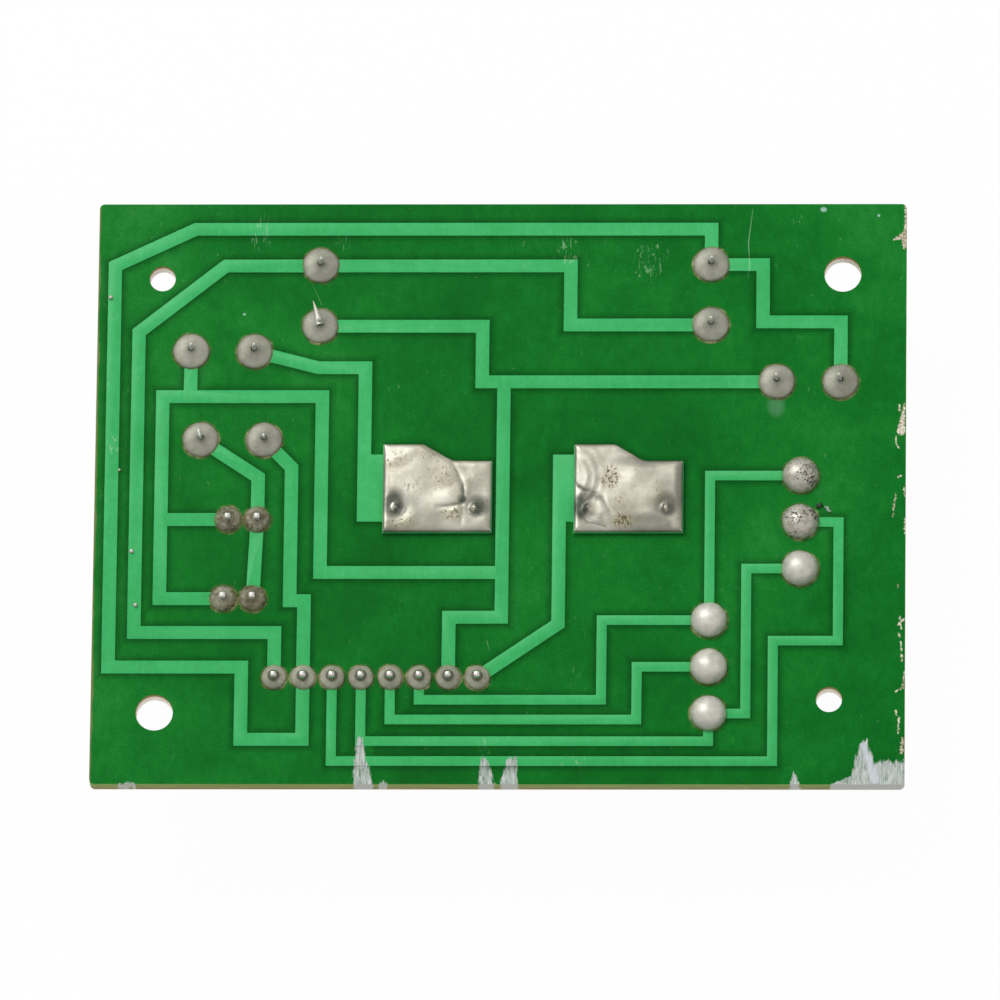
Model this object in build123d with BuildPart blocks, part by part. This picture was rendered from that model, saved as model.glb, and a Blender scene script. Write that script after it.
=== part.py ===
"""Console circuit board of a mobility scooter: a single-sided board, solder side up.

The origin is the middle of the board's component face. X runs along the board, Y across it and
Z towards the solder side, so the components hang below and the part can stand on them.
"""

import os

from build123d import *

os.makedirs("parts", exist_ok=True)

# Board
board_length = 70.0
board_width = 52.5
board_thickness = 1.6
board_corner_radius = 0.45
screw_hole_diameter = 3.2
peg_hole_diameter = 2.25
lead_clearance = 0.15
overrun = 1.0

# Copper foil under the green lacquer
foil_thickness = 0.07
wide_track = 1.2
narrow_track = 0.9
lane_clearance = 0.3
foil_margin = 0.12

# Solder
joint_sides = 12
pin_solder_rise = 0.75
pin_solder_slope = 31
foot_rise = 0.32
foot_slope = 58
neck_rise = 0.48
neck_slope = 45
dome_foot_rise = 0.6
dome_foot_slope = 16
dome_shoulder_rise = 0.45
dome_shoulder_slope = 44
dome_crown_rise = 0.17
dome_crown_slope = 73
slab_rise = 0.9
slab_edge = 0.6

# Two-lead parts
lead_spacing = 5.5
lead_diameter = 0.55
lead_sides = 8
lead_reach = 1.55
lead_pad_diameter = 3.2

# Main header, a shrouded eight-way socket
main_ways = 8
main_pitch = 2.5
main_pad_gap = 0.3
main_pin_width = 0.64
main_pin_reach = 1.25
main_pin_depth = 6.2
main_end_margin = 2.45
main_shroud_width = 5.8
main_shroud_height = 7.0
main_wall = 0.8
main_floor = 1.9
main_key_width = 1.6
main_end_notch = 2.2

# Side headers, three-way posts with a locking wall
side_ways = 3
side_pitch = 4.2
side_pin_width = 1.0
side_pin_reach = 0.85
side_pin_depth = 11.0
side_end_margin = 2.0
side_base_width = 6.6
side_base_height = 3.4
side_wall = 1.1
side_wall_height = 12.0
side_latch_depth = 0.5
side_latch_height = 1.4
side_slot_width = 1.4
side_slot_depth = 5.0

# Lamps, five-millimetre light-emitting diodes
lamp_spacing = 2.54
lamp_pad_gap = 0.16
lamp_lead_width = 0.5
lamp_lead_reach = 1.25
lamp_diameter = 5.0
lamp_flange_diameter = 5.8
lamp_flange_height = 1.0
lamp_body_length = 8.6
lamp_reach = 12.0
lamp_flat_depth = 0.35
lamp_dome_shares = ((0.866, 0.5), (0.5, 0.866))
lamp_lead_depth = 2.2
lamp_post_depth = 4.6

# Resistor, stood on end
resistor_length = 6.4
resistor_diameter = 2.5
resistor_waist_diameter = 2.15
resistor_cap_length = 1.5
resistor_standoff = 1.2
resistor_loop_rise = 1.6
resistor_loop_radius = 0.9

# Electrolytic capacitor
can_diameter = 10.0
can_height = 12.0
can_edge = 0.6
can_groove_depth = 0.5
can_groove_width = 1.0
can_groove_height = 2.2
can_lip = 0.7
can_gap = 0.8
bung_depth = 1.1
bung_recess = 0.35

# Film capacitors
box_length = 7.6
box_width = 4.0
box_height = 9.5
box_standoff = 0.4
box_edge = 0.3
box_lead_depth = 1.2

# Suppressor disc
disc_diameter = 9.0
disc_thickness = 3.4
disc_edge = 0.9
disc_edge_slope = 45
disc_sides = 24
disc_standoff = 1.0
disc_lead_depth = 3.0

# Fuse and its two clips
clip_spacing = 16.5
clip_leg_spacing = 6.6
clip_leg_width = 1.3
clip_leg_thickness = 0.5
clip_leg_reach = 0.5
clip_base_width = 4.0
clip_metal = 0.45
clip_finger_length = 4.4
clip_mouth_angle = 96
clip_lip = 0.9
clip_stem_width = 2.4
grip_clearance = 0.03
fuse_length = 20.0
fuse_cap_diameter = 5.2
fuse_cap_length = 5.2
fuse_cap_wall = 0.25
fuse_bore = 3.8
fuse_wire_diameter = 0.3
fuse_axis_drop = 4.3
end_stop_gap = 0.2

# Solder pads of the clips
slab_length = 9.5
slab_width = 8.0
slab_offset = 2.1
slab_margin = 0.1
slab_lane_insets = (1.6, 1.21)
slab_tab_width = 6.1
slab_tab_offset = 0.1
slab_outline_shares = (
    (-0.5, -0.5),
    (0.5, -0.5),
    (0.5, 0.31),
    (0.14, 0.315),
    (-0.13, 0.5),
    (-0.5, 0.5),
)

# Places of the holes and of each part's middle, as shares of the board's length and width
screw_place_shares = ((0.4214, 0.3781), (-0.4214, -0.3781))
peg_place_shares = ((-0.4204, 0.3703), (0.4071, -0.355))
place_shares = {
    "right_film_capacitor": (0.2588, 0.3421),
    "left_film_capacitor": (-0.2245, 0.34),
    "electrolytic": (0.3801, 0.1912),
    "suppressor": (-0.3443, 0.2437),
    "feed_resistor": (-0.3307, 0.0907),
    "upper_header": (0.3707, -0.0507),
    "lower_header": (0.2592, -0.2994),
    "upper_lamp": (-0.3164, -0.0466),
    "lower_lamp": (-0.321, -0.1828),
    "main_header": (-0.15, -0.318),
    "fuse": (0.041, -0.0343),
}

# Lanes that the tracks run in, as shares of the board's length and width
column_shares = {
    "edge": -0.4794,
    "second": -0.4485,
    "loop_left": -0.4177,
    "edge_bend": -0.38,
    "second_bend": -0.3421,
    "drop": -0.3151,
    "jog": -0.2571,
    "fuse_bend": -0.2256,
    "loop_right": -0.2203,
    "ground_step": -0.0233,
    "spine": 0.0038,
    "sense_step": 0.085,
    "high": 0.1274,
    "lower_wiper": 0.1709,
    "low_link": 0.3046,
    "supply_step": 0.3229,
    "wiper_turn": 0.3379,
    "wiper_out": 0.4177,
}
row_shares = {
    "top": 0.4562,
    "edge_bend": 0.3924,
    "supply_step": 0.295,
    "second_bend": 0.2775,
    "fuse_out": 0.2157,
    "loop_top": 0.1657,
    "jog_bend": 0.043,
    "lamp_bend": 0.0263,
    "loop_low": -0.1377,
    "jog": -0.1863,
    "spine_foot": -0.2146,
    "fuse_feed": -0.2261,
    "sense": -0.2409,
    "wiper_turn": -0.2546,
    "supply": -0.3002,
    "high": -0.356,
    "lower_wiper": -0.3898,
    "supply_foot": -0.4239,
    "low": -0.4268,
    "upper_wiper": -0.4608,
}

# Values that follow from the sizes above
solder_face = Plane.XY.offset(board_thickness)
foil_top_height = board_thickness + foil_thickness
foil_top = Plane.XY.offset(foil_top_height)
pad_diameters = {
    "round": lead_pad_diameter,
    "main": main_pitch - main_pad_gap,
    "side": lead_pad_diameter,
    "lamp": lamp_spacing - lamp_pad_gap,
}
lead_sizes = {
    "round": (lead_diameter, 0),
    "main": (main_pin_width, main_pin_width),
    "side": (side_pin_width, side_pin_width),
    "lamp": (lamp_lead_width, lamp_lead_width),
    "clip": (clip_leg_width, clip_leg_thickness),
}
rightward = Vector(1, 0)
downward = Vector(0, -1)


def on_board(shares):
    """Point of the board at a share of its length and a share of its width."""
    return Vector(shares[0] * board_length, shares[1] * board_width)


def lead_row(name, count, pitch, along):
    """Lead places of one component, from left to right or from top to bottom."""
    first = place[name] - along * (pitch * (count - 1) / 2)
    return [first + along * (pitch * number) for number in range(count)]


def save(piece, name):
    """Label a finished piece and write its file."""
    piece.label = name
    export_step(piece, f"parts/{name}.step")


place = {name: on_board(shares) for name, shares in place_shares.items()}
column = {name: share * board_length for name, share in column_shares.items()}
row = {name: share * board_width for name, share in row_shares.items()}
screw_places = [on_board(shares) for shares in screw_place_shares]
peg_places = [on_board(shares) for shares in peg_place_shares]

# Lanes and places that give way where the board is small
slab_reach = (clip_spacing + slab_length) / 2
slab_tab_reaches = [inset + wide_track / 2 for inset in slab_lane_insets]
loop_edge = column["loop_right"] + wide_track / 2 + lane_clearance
fuse_column = max(place["fuse"].X, loop_edge + slab_tab_reaches[0] + slab_reach)
place["fuse"] = Vector(fuse_column, place["fuse"].Y)
narrow_step = narrow_track / 2 + lane_clearance
lower_column = max(place["lower_header"].X, fuse_column + slab_reach + narrow_step)
place["lower_header"] = Vector(lower_column, place["lower_header"].Y)
column["low_link"] = max(column["low_link"], lower_column + lead_pad_diameter / 2 + narrow_step)
column["wiper_turn"] = max(column["wiper_turn"], column["low_link"] + narrow_track + lane_clearance)
side_length = side_pitch * (side_ways - 1) + side_end_margin * 2
can_row = max(place["electrolytic"].Y, place["upper_header"].Y + (side_length + can_diameter) / 2 + can_gap)
place["electrolytic"] = Vector(place["electrolytic"].X, can_row)

main_pins = lead_row("main_header", main_ways, main_pitch, rightward)
upper_pins = lead_row("upper_header", side_ways, side_pitch, downward)
lower_pins = lead_row("lower_header", side_ways, side_pitch, downward)
upper_lamp = lead_row("upper_lamp", 2, lamp_spacing, rightward)
lower_lamp = lead_row("lower_lamp", 2, lamp_spacing, rightward)
right_film = lead_row("right_film_capacitor", 2, lead_spacing, downward)
left_film = lead_row("left_film_capacitor", 2, lead_spacing, downward)
feed_resistor = lead_row("feed_resistor", 2, lead_spacing, rightward)
electrolytic = lead_row("electrolytic", 2, lead_spacing, rightward)
suppressor = lead_row("suppressor", 2, lead_spacing, rightward)
clip_places = lead_row("fuse", 2, clip_spacing, rightward)
clip_legs = [
    [middle + rightward * (side * clip_leg_spacing / 2) for side in (-1, 1)]
    for middle in clip_places
]
slab_places = [middle - downward * slab_offset for middle in clip_places]
slab_edges = [middle - rightward * (slab_length / 2) for middle in slab_places]
slab_lanes = [edge.X - inset for edge, inset in zip(slab_edges, slab_lane_insets)]
slab_outlines = [
    [middle + Vector(across * slab_length, up * slab_width) for across, up in slab_outline_shares]
    for middle in slab_places
]


# Outlines of the leads, and of the holes that they pass
def lead_outline(width, depth, grow):
    """Drawn lead of one width, or stamped lead of a width and a depth, grown all round."""
    with BuildSketch() as outline:
        if depth:
            Rectangle(width + grow * 2, depth + grow * 2)
        else:
            RegularPolygon(width / 2 + grow, lead_sides)
    return outline.sketch


lead_sections = {kind: lead_outline(*size, 0) for kind, size in lead_sizes.items()}
lead_holes = {kind: lead_outline(*size, lead_clearance) for kind, size in lead_sizes.items()}

# Board with its screw, peg and lead holes
lead_places = {
    "round": right_film + left_film + feed_resistor + electrolytic + suppressor,
    "main": main_pins,
    "side": upper_pins + lower_pins,
    "lamp": upper_lamp + lower_lamp,
    "clip": clip_legs[0] + clip_legs[1],
}
with BuildPart() as board:
    with BuildSketch():
        RectangleRounded(board_length, board_width, board_corner_radius)
        with Locations(*screw_places):
            Circle(screw_hole_diameter / 2, mode=Mode.SUBTRACT)
        with Locations(*peg_places):
            Circle(peg_hole_diameter / 2, mode=Mode.SUBTRACT)
        for kind, spots in lead_places.items():
            with Locations(*spots):
                add(lead_holes[kind], mode=Mode.SUBTRACT)
    extrude(amount=board_thickness)
save(board.part, "board")


# Copper tracks
def stroke_outline(points, width):
    """Mitred outline of a track of one width that follows the points."""
    runs = [(end - start).normalized() for start, end in zip(points, points[1:])]
    normals = [run.rotate(Axis.Z, 90) for run in runs]
    mitres = [normals[0]]
    for before, after in zip(normals, normals[1:]):
        mitres.append((before + after) / (1 + before.dot(after)))
    mitres.append(normals[-1])
    left = [point + mitre * (width / 2) for point, mitre in zip(points, mitres)]
    right = [point - mitre * (width / 2) for point, mitre in zip(points, mitres)]
    return left + right[::-1]


def make_track(name, width, routes, pads, slab=None):
    """One net of foil: its tracks, round pads with lead holes and, at a fuse clip, its large pad."""
    with BuildPart() as track:
        with BuildSketch(solder_face):
            for route in routes:
                with BuildLine():
                    Polyline(*stroke_outline(route, width), close=True)
                make_face()
            for kind, spots in pads.items():
                with Locations(*spots):
                    RegularPolygon(pad_diameters[kind] / 2, joint_sides)
            if slab is not None:
                with BuildLine():
                    Polyline(*slab_outlines[slab], close=True)
                make_face()
                with Locations(slab_edges[slab] - downward * slab_tab_offset):
                    Rectangle(slab_tab_reaches[slab], slab_tab_width, align=(Align.MAX, Align.CENTER))
                with Locations(*clip_legs[slab]):
                    add(lead_holes["clip"], mode=Mode.SUBTRACT)
            for kind, spots in pads.items():
                with Locations(*spots):
                    add(lead_holes[kind], mode=Mode.SUBTRACT)
        extrude(amount=foil_thickness)
    save(track.part, name)


make_track(
    "sense_track",
    wide_track,
    [
        [
            main_pins[0],
            Vector(main_pins[0].X, row["sense"]),
            Vector(column["second"], row["sense"]),
            Vector(column["second"], row["second_bend"]),
            Vector(column["second_bend"], left_film[0].Y),
            left_film[0],
        ],
        [
            left_film[0],
            Vector(column["sense_step"], left_film[0].Y),
            Vector(column["sense_step"], right_film[1].Y),
            right_film[1],
        ],
    ],
    {"main": [main_pins[0]], "round": [left_film[0], right_film[1]]},
)
make_track(
    "supply_track",
    wide_track,
    [
        [
            main_pins[1],
            Vector(main_pins[1].X, row["jog"]),
            Vector(column["jog"], row["jog"]),
            Vector(column["jog"], row["jog_bend"]),
            feed_resistor[1],
        ],
        [
            main_pins[1],
            Vector(main_pins[1].X, row["supply_foot"]),
            Vector(column["drop"], row["supply_foot"]),
            Vector(column["drop"], row["supply"]),
            Vector(column["edge"], row["supply"]),
            Vector(column["edge"], row["edge_bend"]),
            Vector(column["edge_bend"], row["top"]),
            Vector(right_film[0].X, row["top"]),
            right_film[0],
        ],
        [
            right_film[0],
            Vector(column["supply_step"], right_film[0].Y),
            Vector(column["supply_step"], row["supply_step"]),
            Vector(electrolytic[1].X, row["supply_step"]),
            electrolytic[1],
        ],
    ],
    {"main": [main_pins[1]], "round": [feed_resistor[1], right_film[0], electrolytic[1]]},
)
make_track(
    "upper_wiper_track",
    narrow_track,
    [
        [
            main_pins[2],
            Vector(main_pins[2].X, row["upper_wiper"]),
            Vector(column["wiper_turn"], row["upper_wiper"]),
            Vector(column["wiper_turn"], row["wiper_turn"]),
            Vector(column["wiper_out"], row["wiper_turn"]),
            Vector(column["wiper_out"], upper_pins[1].Y),
            upper_pins[1],
        ],
    ],
    {"main": [main_pins[2]], "side": [upper_pins[1]]},
)
make_track(
    "low_side_track",
    narrow_track,
    [
        [
            main_pins[3],
            Vector(main_pins[3].X, row["low"]),
            Vector(lower_pins[2].X, row["low"]),
            lower_pins[2],
        ],
        [
            lower_pins[2],
            Vector(column["low_link"], lower_pins[2].Y),
            Vector(column["low_link"], upper_pins[2].Y),
            upper_pins[2],
        ],
    ],
    {"main": [main_pins[3]], "side": [lower_pins[2], upper_pins[2]]},
)
make_track(
    "lower_wiper_track",
    narrow_track,
    [
        [
            main_pins[4],
            Vector(main_pins[4].X, row["lower_wiper"]),
            Vector(column["lower_wiper"], row["lower_wiper"]),
            Vector(column["lower_wiper"], lower_pins[1].Y),
            lower_pins[1],
        ],
    ],
    {"main": [main_pins[4]], "side": [lower_pins[1]]},
)
make_track(
    "high_side_track",
    narrow_track,
    [
        [
            main_pins[5],
            Vector(main_pins[5].X, row["high"]),
            Vector(column["high"], row["high"]),
            Vector(column["high"], lower_pins[0].Y),
            lower_pins[0],
        ],
        [
            lower_pins[0],
            Vector(lower_pins[0].X, upper_pins[0].Y),
            upper_pins[0],
        ],
    ],
    {"main": [main_pins[5]], "side": [lower_pins[0], upper_pins[0]]},
)
make_track(
    "ground_track",
    wide_track,
    [
        [
            main_pins[6],
            Vector(main_pins[6].X, row["spine_foot"]),
            Vector(column["spine"], row["spine_foot"]),
            Vector(column["spine"], electrolytic[0].Y),
        ],
        [
            left_film[1],
            Vector(column["ground_step"], left_film[1].Y),
            Vector(column["ground_step"], electrolytic[0].Y),
            electrolytic[0],
        ],
        [
            Vector(column["spine"], row["loop_low"]),
            Vector(column["loop_right"], row["loop_low"]),
            Vector(column["loop_right"], row["loop_top"]),
            Vector(column["loop_left"], row["loop_top"]),
            Vector(column["loop_left"], lower_lamp[0].Y),
            lower_lamp[0],
        ],
        [Vector(column["loop_left"], upper_lamp[0].Y), upper_lamp[0]],
        [suppressor[0], Vector(suppressor[0].X, row["loop_top"])],
    ],
    {
        "main": [main_pins[6]],
        "round": [left_film[1], electrolytic[0], suppressor[0]],
        "lamp": [upper_lamp[0], lower_lamp[0]],
    },
)
make_track(
    "fuse_feed_track",
    wide_track,
    [
        [
            main_pins[7],
            Vector(slab_lanes[1], row["fuse_feed"]),
            Vector(slab_lanes[1], slab_edges[1].Y),
        ],
    ],
    {"main": [main_pins[7]]},
    slab=1,
)
make_track(
    "fuse_out_track",
    wide_track,
    [
        [
            Vector(slab_lanes[0], slab_edges[0].Y),
            Vector(slab_lanes[0], row["fuse_out"]),
            Vector(column["fuse_bend"], row["fuse_out"]),
            suppressor[1],
        ],
    ],
    {"round": [suppressor[1]]},
    slab=0,
)
make_track(
    "lamp_feed_track",
    wide_track,
    [
        [
            feed_resistor[0],
            Vector(upper_lamp[1].X, row["lamp_bend"]),
            upper_lamp[1],
            lower_lamp[1],
        ],
    ],
    {"round": [feed_resistor[0]], "lamp": [upper_lamp[1], lower_lamp[1]]},
)


# Solder joints
def make_joints(name, spots, kind, bands, depth):
    """Joints that narrow in bands from their pads to the top, cut for the leads to a depth."""
    with BuildPart() as joints:
        with BuildSketch(foil_top):
            with Locations(*spots):
                RegularPolygon(pad_diameters[kind] / 2 - foil_margin, joint_sides)
        rise, slope = bands[0]
        extrude(amount=rise, taper=slope)
        for rise, slope in bands[1:]:
            for top in joints.faces().group_by(Axis.Z)[-1]:
                extrude(top, amount=rise, taper=slope)
        with BuildSketch(foil_top):
            with Locations(*spots):
                add(lead_sections[kind])
        extrude(amount=depth, mode=Mode.SUBTRACT)
    save(joints.part, name)


def make_slab(name, side):
    """Thick solder over a clip's large pad, sloped at its edges and cut for the clip's legs."""
    with BuildPart() as slab:
        with BuildSketch(foil_top):
            with BuildLine():
                Polyline(*slab_outlines[side], close=True)
            make_face()
            offset(amount=-slab_margin, kind=Kind.INTERSECTION)
        extrude(amount=slab_rise)
        chamfer(slab.faces().sort_by(Axis.Z)[-1].edges(), slab_edge)
        with BuildSketch(foil_top):
            with Locations(*clip_legs[side]):
                add(lead_sections["clip"])
        extrude(amount=clip_leg_reach, mode=Mode.SUBTRACT)
    save(slab.part, name)


pin_bands = [(pin_solder_rise, pin_solder_slope)]
make_joints("main_header_solder", main_pins, "main", pin_bands, pin_solder_rise)
make_joints("upper_lamp_solder", upper_lamp, "lamp", pin_bands, pin_solder_rise)
make_joints("lower_lamp_solder", lower_lamp, "lamp", pin_bands, pin_solder_rise)
lead_bands = [(foot_rise, foot_slope), (neck_rise, neck_slope)]
lead_solder_rise = foot_rise + neck_rise
make_joints("right_film_capacitor_solder", right_film, "round", lead_bands, lead_solder_rise)
make_joints("left_film_capacitor_solder", left_film, "round", lead_bands, lead_solder_rise)
make_joints("feed_resistor_solder", feed_resistor, "round", lead_bands, lead_solder_rise)
make_joints("electrolytic_solder", electrolytic, "round", lead_bands, lead_solder_rise)
make_joints("suppressor_solder", suppressor, "round", lead_bands, lead_solder_rise)
dome_bands = [
    (dome_foot_rise, dome_foot_slope),
    (dome_shoulder_rise, dome_shoulder_slope),
    (dome_crown_rise, dome_crown_slope),
]
make_joints("upper_header_solder", upper_pins, "side", dome_bands, side_pin_reach)
make_joints("lower_header_solder", lower_pins, "side", dome_bands, side_pin_reach)
make_slab("fuse_out_solder", 0)
make_slab("fuse_feed_solder", 1)


# Posts and leads that stand straight through the board
def make_leads(name, spots, kind, reach, depth):
    """Straight leads from their tips above the foil down to a depth below the board."""
    with BuildPart() as leads:
        with BuildSketch(Plane.XY.offset(foil_top_height + reach)):
            with Locations(*spots):
                add(lead_sections[kind])
        extrude(amount=-(foil_top_height + reach + depth))
    save(leads.part, name)


make_leads("main_header_pins", main_pins, "main", main_pin_reach, main_pin_depth)
make_leads("upper_header_pins", upper_pins, "side", side_pin_reach, side_pin_depth)
make_leads("lower_header_pins", lower_pins, "side", side_pin_reach, side_pin_depth)
make_leads("right_film_capacitor_leads", right_film, "round", lead_reach, box_standoff + box_lead_depth)
make_leads("left_film_capacitor_leads", left_film, "round", lead_reach, box_standoff + box_lead_depth)
make_leads("electrolytic_leads", electrolytic, "round", lead_reach, bung_recess + bung_depth)
make_leads("suppressor_leads", suppressor, "round", lead_reach, disc_standoff + disc_lead_depth)


# Main header's shroud, with two key slots in its front wall and a notch in each end
main_length = main_pitch * (main_ways - 1) + main_end_margin * 2
main_front = -main_shroud_width / 2
with BuildPart() as main_header_housing:
    with BuildSketch():
        with Locations(place["main_header"]):
            Rectangle(main_length, main_shroud_width)
    extrude(amount=-main_shroud_height)
    with BuildSketch(Plane.XY.offset(-main_floor)):
        with Locations(place["main_header"]):
            Rectangle(main_length - main_wall * 2, main_shroud_width - main_wall * 2)
    extrude(amount=main_floor - main_shroud_height, mode=Mode.SUBTRACT)
    with BuildSketch(Plane.XY.offset(-main_floor)):
        for pin in (main_pins[1], main_pins[-2]):
            with Locations(pin + Vector(0, main_front + main_wall / 2)):
                Rectangle(main_key_width, main_wall)
        for end in (-1, 1):
            with Locations(place["main_header"] + rightward * (end * (main_length - main_wall) / 2)):
                Rectangle(main_wall, main_end_notch)
    extrude(amount=main_floor - main_shroud_height, mode=Mode.SUBTRACT)
    with BuildSketch():
        with Locations(*main_pins):
            add(lead_sections["main"])
    extrude(amount=-main_floor, mode=Mode.SUBTRACT)
save(main_header_housing.part, "main_header_housing")


# Side headers' bodies, with a latch ridge and two slots in the locking wall
def make_side_housing(name, middle, spots):
    """Base strip with a tall locking wall on its right side."""
    half = side_base_width / 2
    profile = [
        (-half, 0),
        (half, 0),
        (half, -side_wall_height),
        (half - side_wall, -side_wall_height),
        (half - side_wall - side_latch_depth, -side_wall_height + side_latch_height),
        (half - side_wall, -side_wall_height + side_latch_height),
        (half - side_wall, -side_base_height),
        (-half, -side_base_height),
    ]
    end = Vector(middle.X, middle.Y + side_length / 2, 0)
    with BuildPart() as housing:
        with BuildSketch(Plane(end, x_dir=(1, 0, 0), z_dir=(0, -1, 0))):
            with BuildLine():
                Polyline(*profile, close=True)
            make_face()
        extrude(amount=side_length)
        with BuildSketch(Plane.XY.offset(side_slot_depth - side_wall_height)):
            for before, after in zip(spots, spots[1:]):
                slot = (before + after) / 2 + rightward * (half + overrun)
                with Locations(slot):
                    reach = side_wall + side_latch_depth + overrun
                    Rectangle(reach, side_slot_width, align=(Align.MAX, Align.CENTER))
        extrude(amount=-side_slot_depth, mode=Mode.SUBTRACT)
        with BuildSketch():
            with Locations(*spots):
                add(lead_sections["side"])
        extrude(amount=-side_base_height, mode=Mode.SUBTRACT)
    save(housing.part, name)


make_side_housing("upper_header_housing", place["upper_header"], upper_pins)
make_side_housing("lower_header_housing", place["lower_header"], lower_pins)


# Lamps: a clear lens over two leads, one with the reflector cup
def make_lamp(name, middle, spots):
    """Lens with a flange and one flat, moulded round its two leads."""
    seat = lamp_body_length - lamp_reach
    radius = lamp_diameter / 2
    flange = lamp_flange_diameter / 2
    shoulder = radius - lamp_body_length
    cup_width = lamp_spacing - lamp_lead_width * 2
    with BuildPart() as leads:
        with BuildSketch(Plane.XY.offset(foil_top_height + lamp_lead_reach)):
            with Locations(*spots):
                add(lead_sections["lamp"])
        extrude(amount=seat - lamp_post_depth - foil_top_height - lamp_lead_reach)
        with BuildSketch(Plane.XY.offset(seat - lamp_lead_depth)):
            with Locations(spots[1] + rightward * (lamp_lead_width / 2)):
                Rectangle(cup_width, lamp_lead_width, align=(Align.MAX, Align.CENTER))
        extrude(amount=lamp_lead_depth - lamp_post_depth)
    with BuildPart() as lens:
        foot = Vector(middle.X, middle.Y, seat)
        with BuildSketch(Plane(foot, x_dir=(1, 0, 0), z_dir=(0, -1, 0))):
            with BuildLine():
                dome = [(out * radius, shoulder - down * radius) for out, down in lamp_dome_shares]
                Polyline(
                    (0, -lamp_body_length),
                    (0, 0),
                    (flange, 0),
                    (flange, -lamp_flange_height),
                    (radius, -lamp_flange_height),
                    (radius, shoulder),
                    *dome,
                    close=True,
                )
            make_face()
        revolve(axis=Axis(foot, (0, 0, 1)))
        with BuildSketch(Plane.XY.offset(seat)):
            with Locations(middle - rightward * (flange - lamp_flat_depth)):
                Rectangle(flange, flange * 2, align=(Align.MAX, Align.CENTER))
        extrude(amount=-lamp_flange_height, mode=Mode.SUBTRACT)
        add(leads.part, mode=Mode.SUBTRACT)
    save(leads.part, f"{name}_leads")
    save(lens.part, f"{name}_lens")


make_lamp("upper_lamp", place["upper_lamp"], upper_lamp)
make_lamp("lower_lamp", place["lower_lamp"], lower_lamp)


# Resistor: a waisted body under the first hole, its far lead looped back to the second
resistor_top = -resistor_standoff
resistor_bottom = resistor_top - resistor_length
resistor_turn = resistor_bottom - resistor_loop_rise
resistor_end = resistor_diameter / 2
resistor_waist = resistor_waist_diameter / 2
lead_tip = foil_top_height + lead_reach
first, second = feed_resistor
resistor_head = Vector(first.X, first.Y, resistor_top)
with BuildPart() as feed_resistor_body:
    with BuildSketch(Plane(resistor_head, x_dir=(1, 0, 0), z_dir=(0, -1, 0))):
        with BuildLine():
            Polyline(
                (0, 0),
                (resistor_end, 0),
                (resistor_end, -resistor_cap_length),
                (resistor_waist, -resistor_cap_length),
                (resistor_waist, resistor_cap_length - resistor_length),
                (resistor_end, resistor_cap_length - resistor_length),
                (resistor_end, -resistor_length),
                (0, -resistor_length),
                close=True,
            )
        make_face()
    revolve(axis=Axis(resistor_head, (0, 0, 1)))
save(feed_resistor_body.part, "feed_resistor_body")

with BuildPart() as feed_resistor_leads:
    with BuildSketch(Plane.XY.offset(lead_tip)):
        with Locations(first):
            add(lead_sections["round"])
    extrude(amount=resistor_top - lead_tip)
    with BuildLine() as loop:
        FilletPolyline(
            (first.X, first.Y, resistor_bottom),
            (first.X, first.Y, resistor_turn),
            (second.X, second.Y, resistor_turn),
            (second.X, second.Y, lead_tip),
            radius=resistor_loop_radius,
        )
    with BuildSketch(Plane.XY.offset(resistor_bottom)):
        with Locations(first):
            add(lead_sections["round"])
    sweep(path=loop.line)
save(feed_resistor_leads.part, "feed_resistor_leads")


# Film capacitors: moulded boxes whose leads run into them
def make_film_box(name, spots):
    """Box in line with its two leads, standing just off the board."""
    with BuildPart() as box:
        with BuildSketch(Plane.XY.offset(-box_standoff)):
            with Locations((spots[0] + spots[1]) / 2):
                Rectangle(box_width, box_length)
        extrude(amount=-box_height)
        chamfer(box.faces().sort_by(Axis.Z)[0].edges(), box_edge)
        with BuildSketch(Plane.XY.offset(-box_standoff)):
            with Locations(*spots):
                add(lead_sections["round"])
        extrude(amount=-box_lead_depth, mode=Mode.SUBTRACT)
    save(box.part, name)


make_film_box("right_film_capacitor_box", right_film)
make_film_box("left_film_capacitor_box", left_film)


# Electrolytic capacitor: a crimped can closed by a bung that its two leads pass
can_radius = can_diameter / 2
groove_radius = can_radius - can_groove_depth
bung_radius = can_radius - can_lip
bung_bottom = -bung_recess - bung_depth
can_seat = Vector(place["electrolytic"].X, place["electrolytic"].Y, 0)
with BuildPart() as electrolytic_can:
    with BuildSketch(Plane(can_seat, x_dir=(1, 0, 0), z_dir=(0, -1, 0))):
        with BuildLine():
            Polyline(
                (0, bung_bottom),
                (bung_radius, bung_bottom),
                (bung_radius, 0),
                (can_radius, 0),
                (can_radius, can_groove_width / 2 - can_groove_height),
                (groove_radius, can_groove_width / 2 - can_groove_height),
                (groove_radius, -can_groove_width / 2 - can_groove_height),
                (can_radius, -can_groove_width / 2 - can_groove_height),
                (can_radius, can_edge - can_height),
                (can_radius - can_edge, -can_height),
                (0, -can_height),
                close=True,
            )
        make_face()
    revolve(axis=Axis(can_seat, (0, 0, 1)))
save(electrolytic_can.part, "electrolytic_can")

with BuildPart() as electrolytic_bung:
    with BuildSketch(Plane.XY.offset(-bung_recess)):
        with Locations(place["electrolytic"]):
            Circle(bung_radius)
        with Locations(*electrolytic):
            add(lead_sections["round"], mode=Mode.SUBTRACT)
    extrude(amount=-bung_depth)
save(electrolytic_bung.part, "electrolytic_bung")


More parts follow.
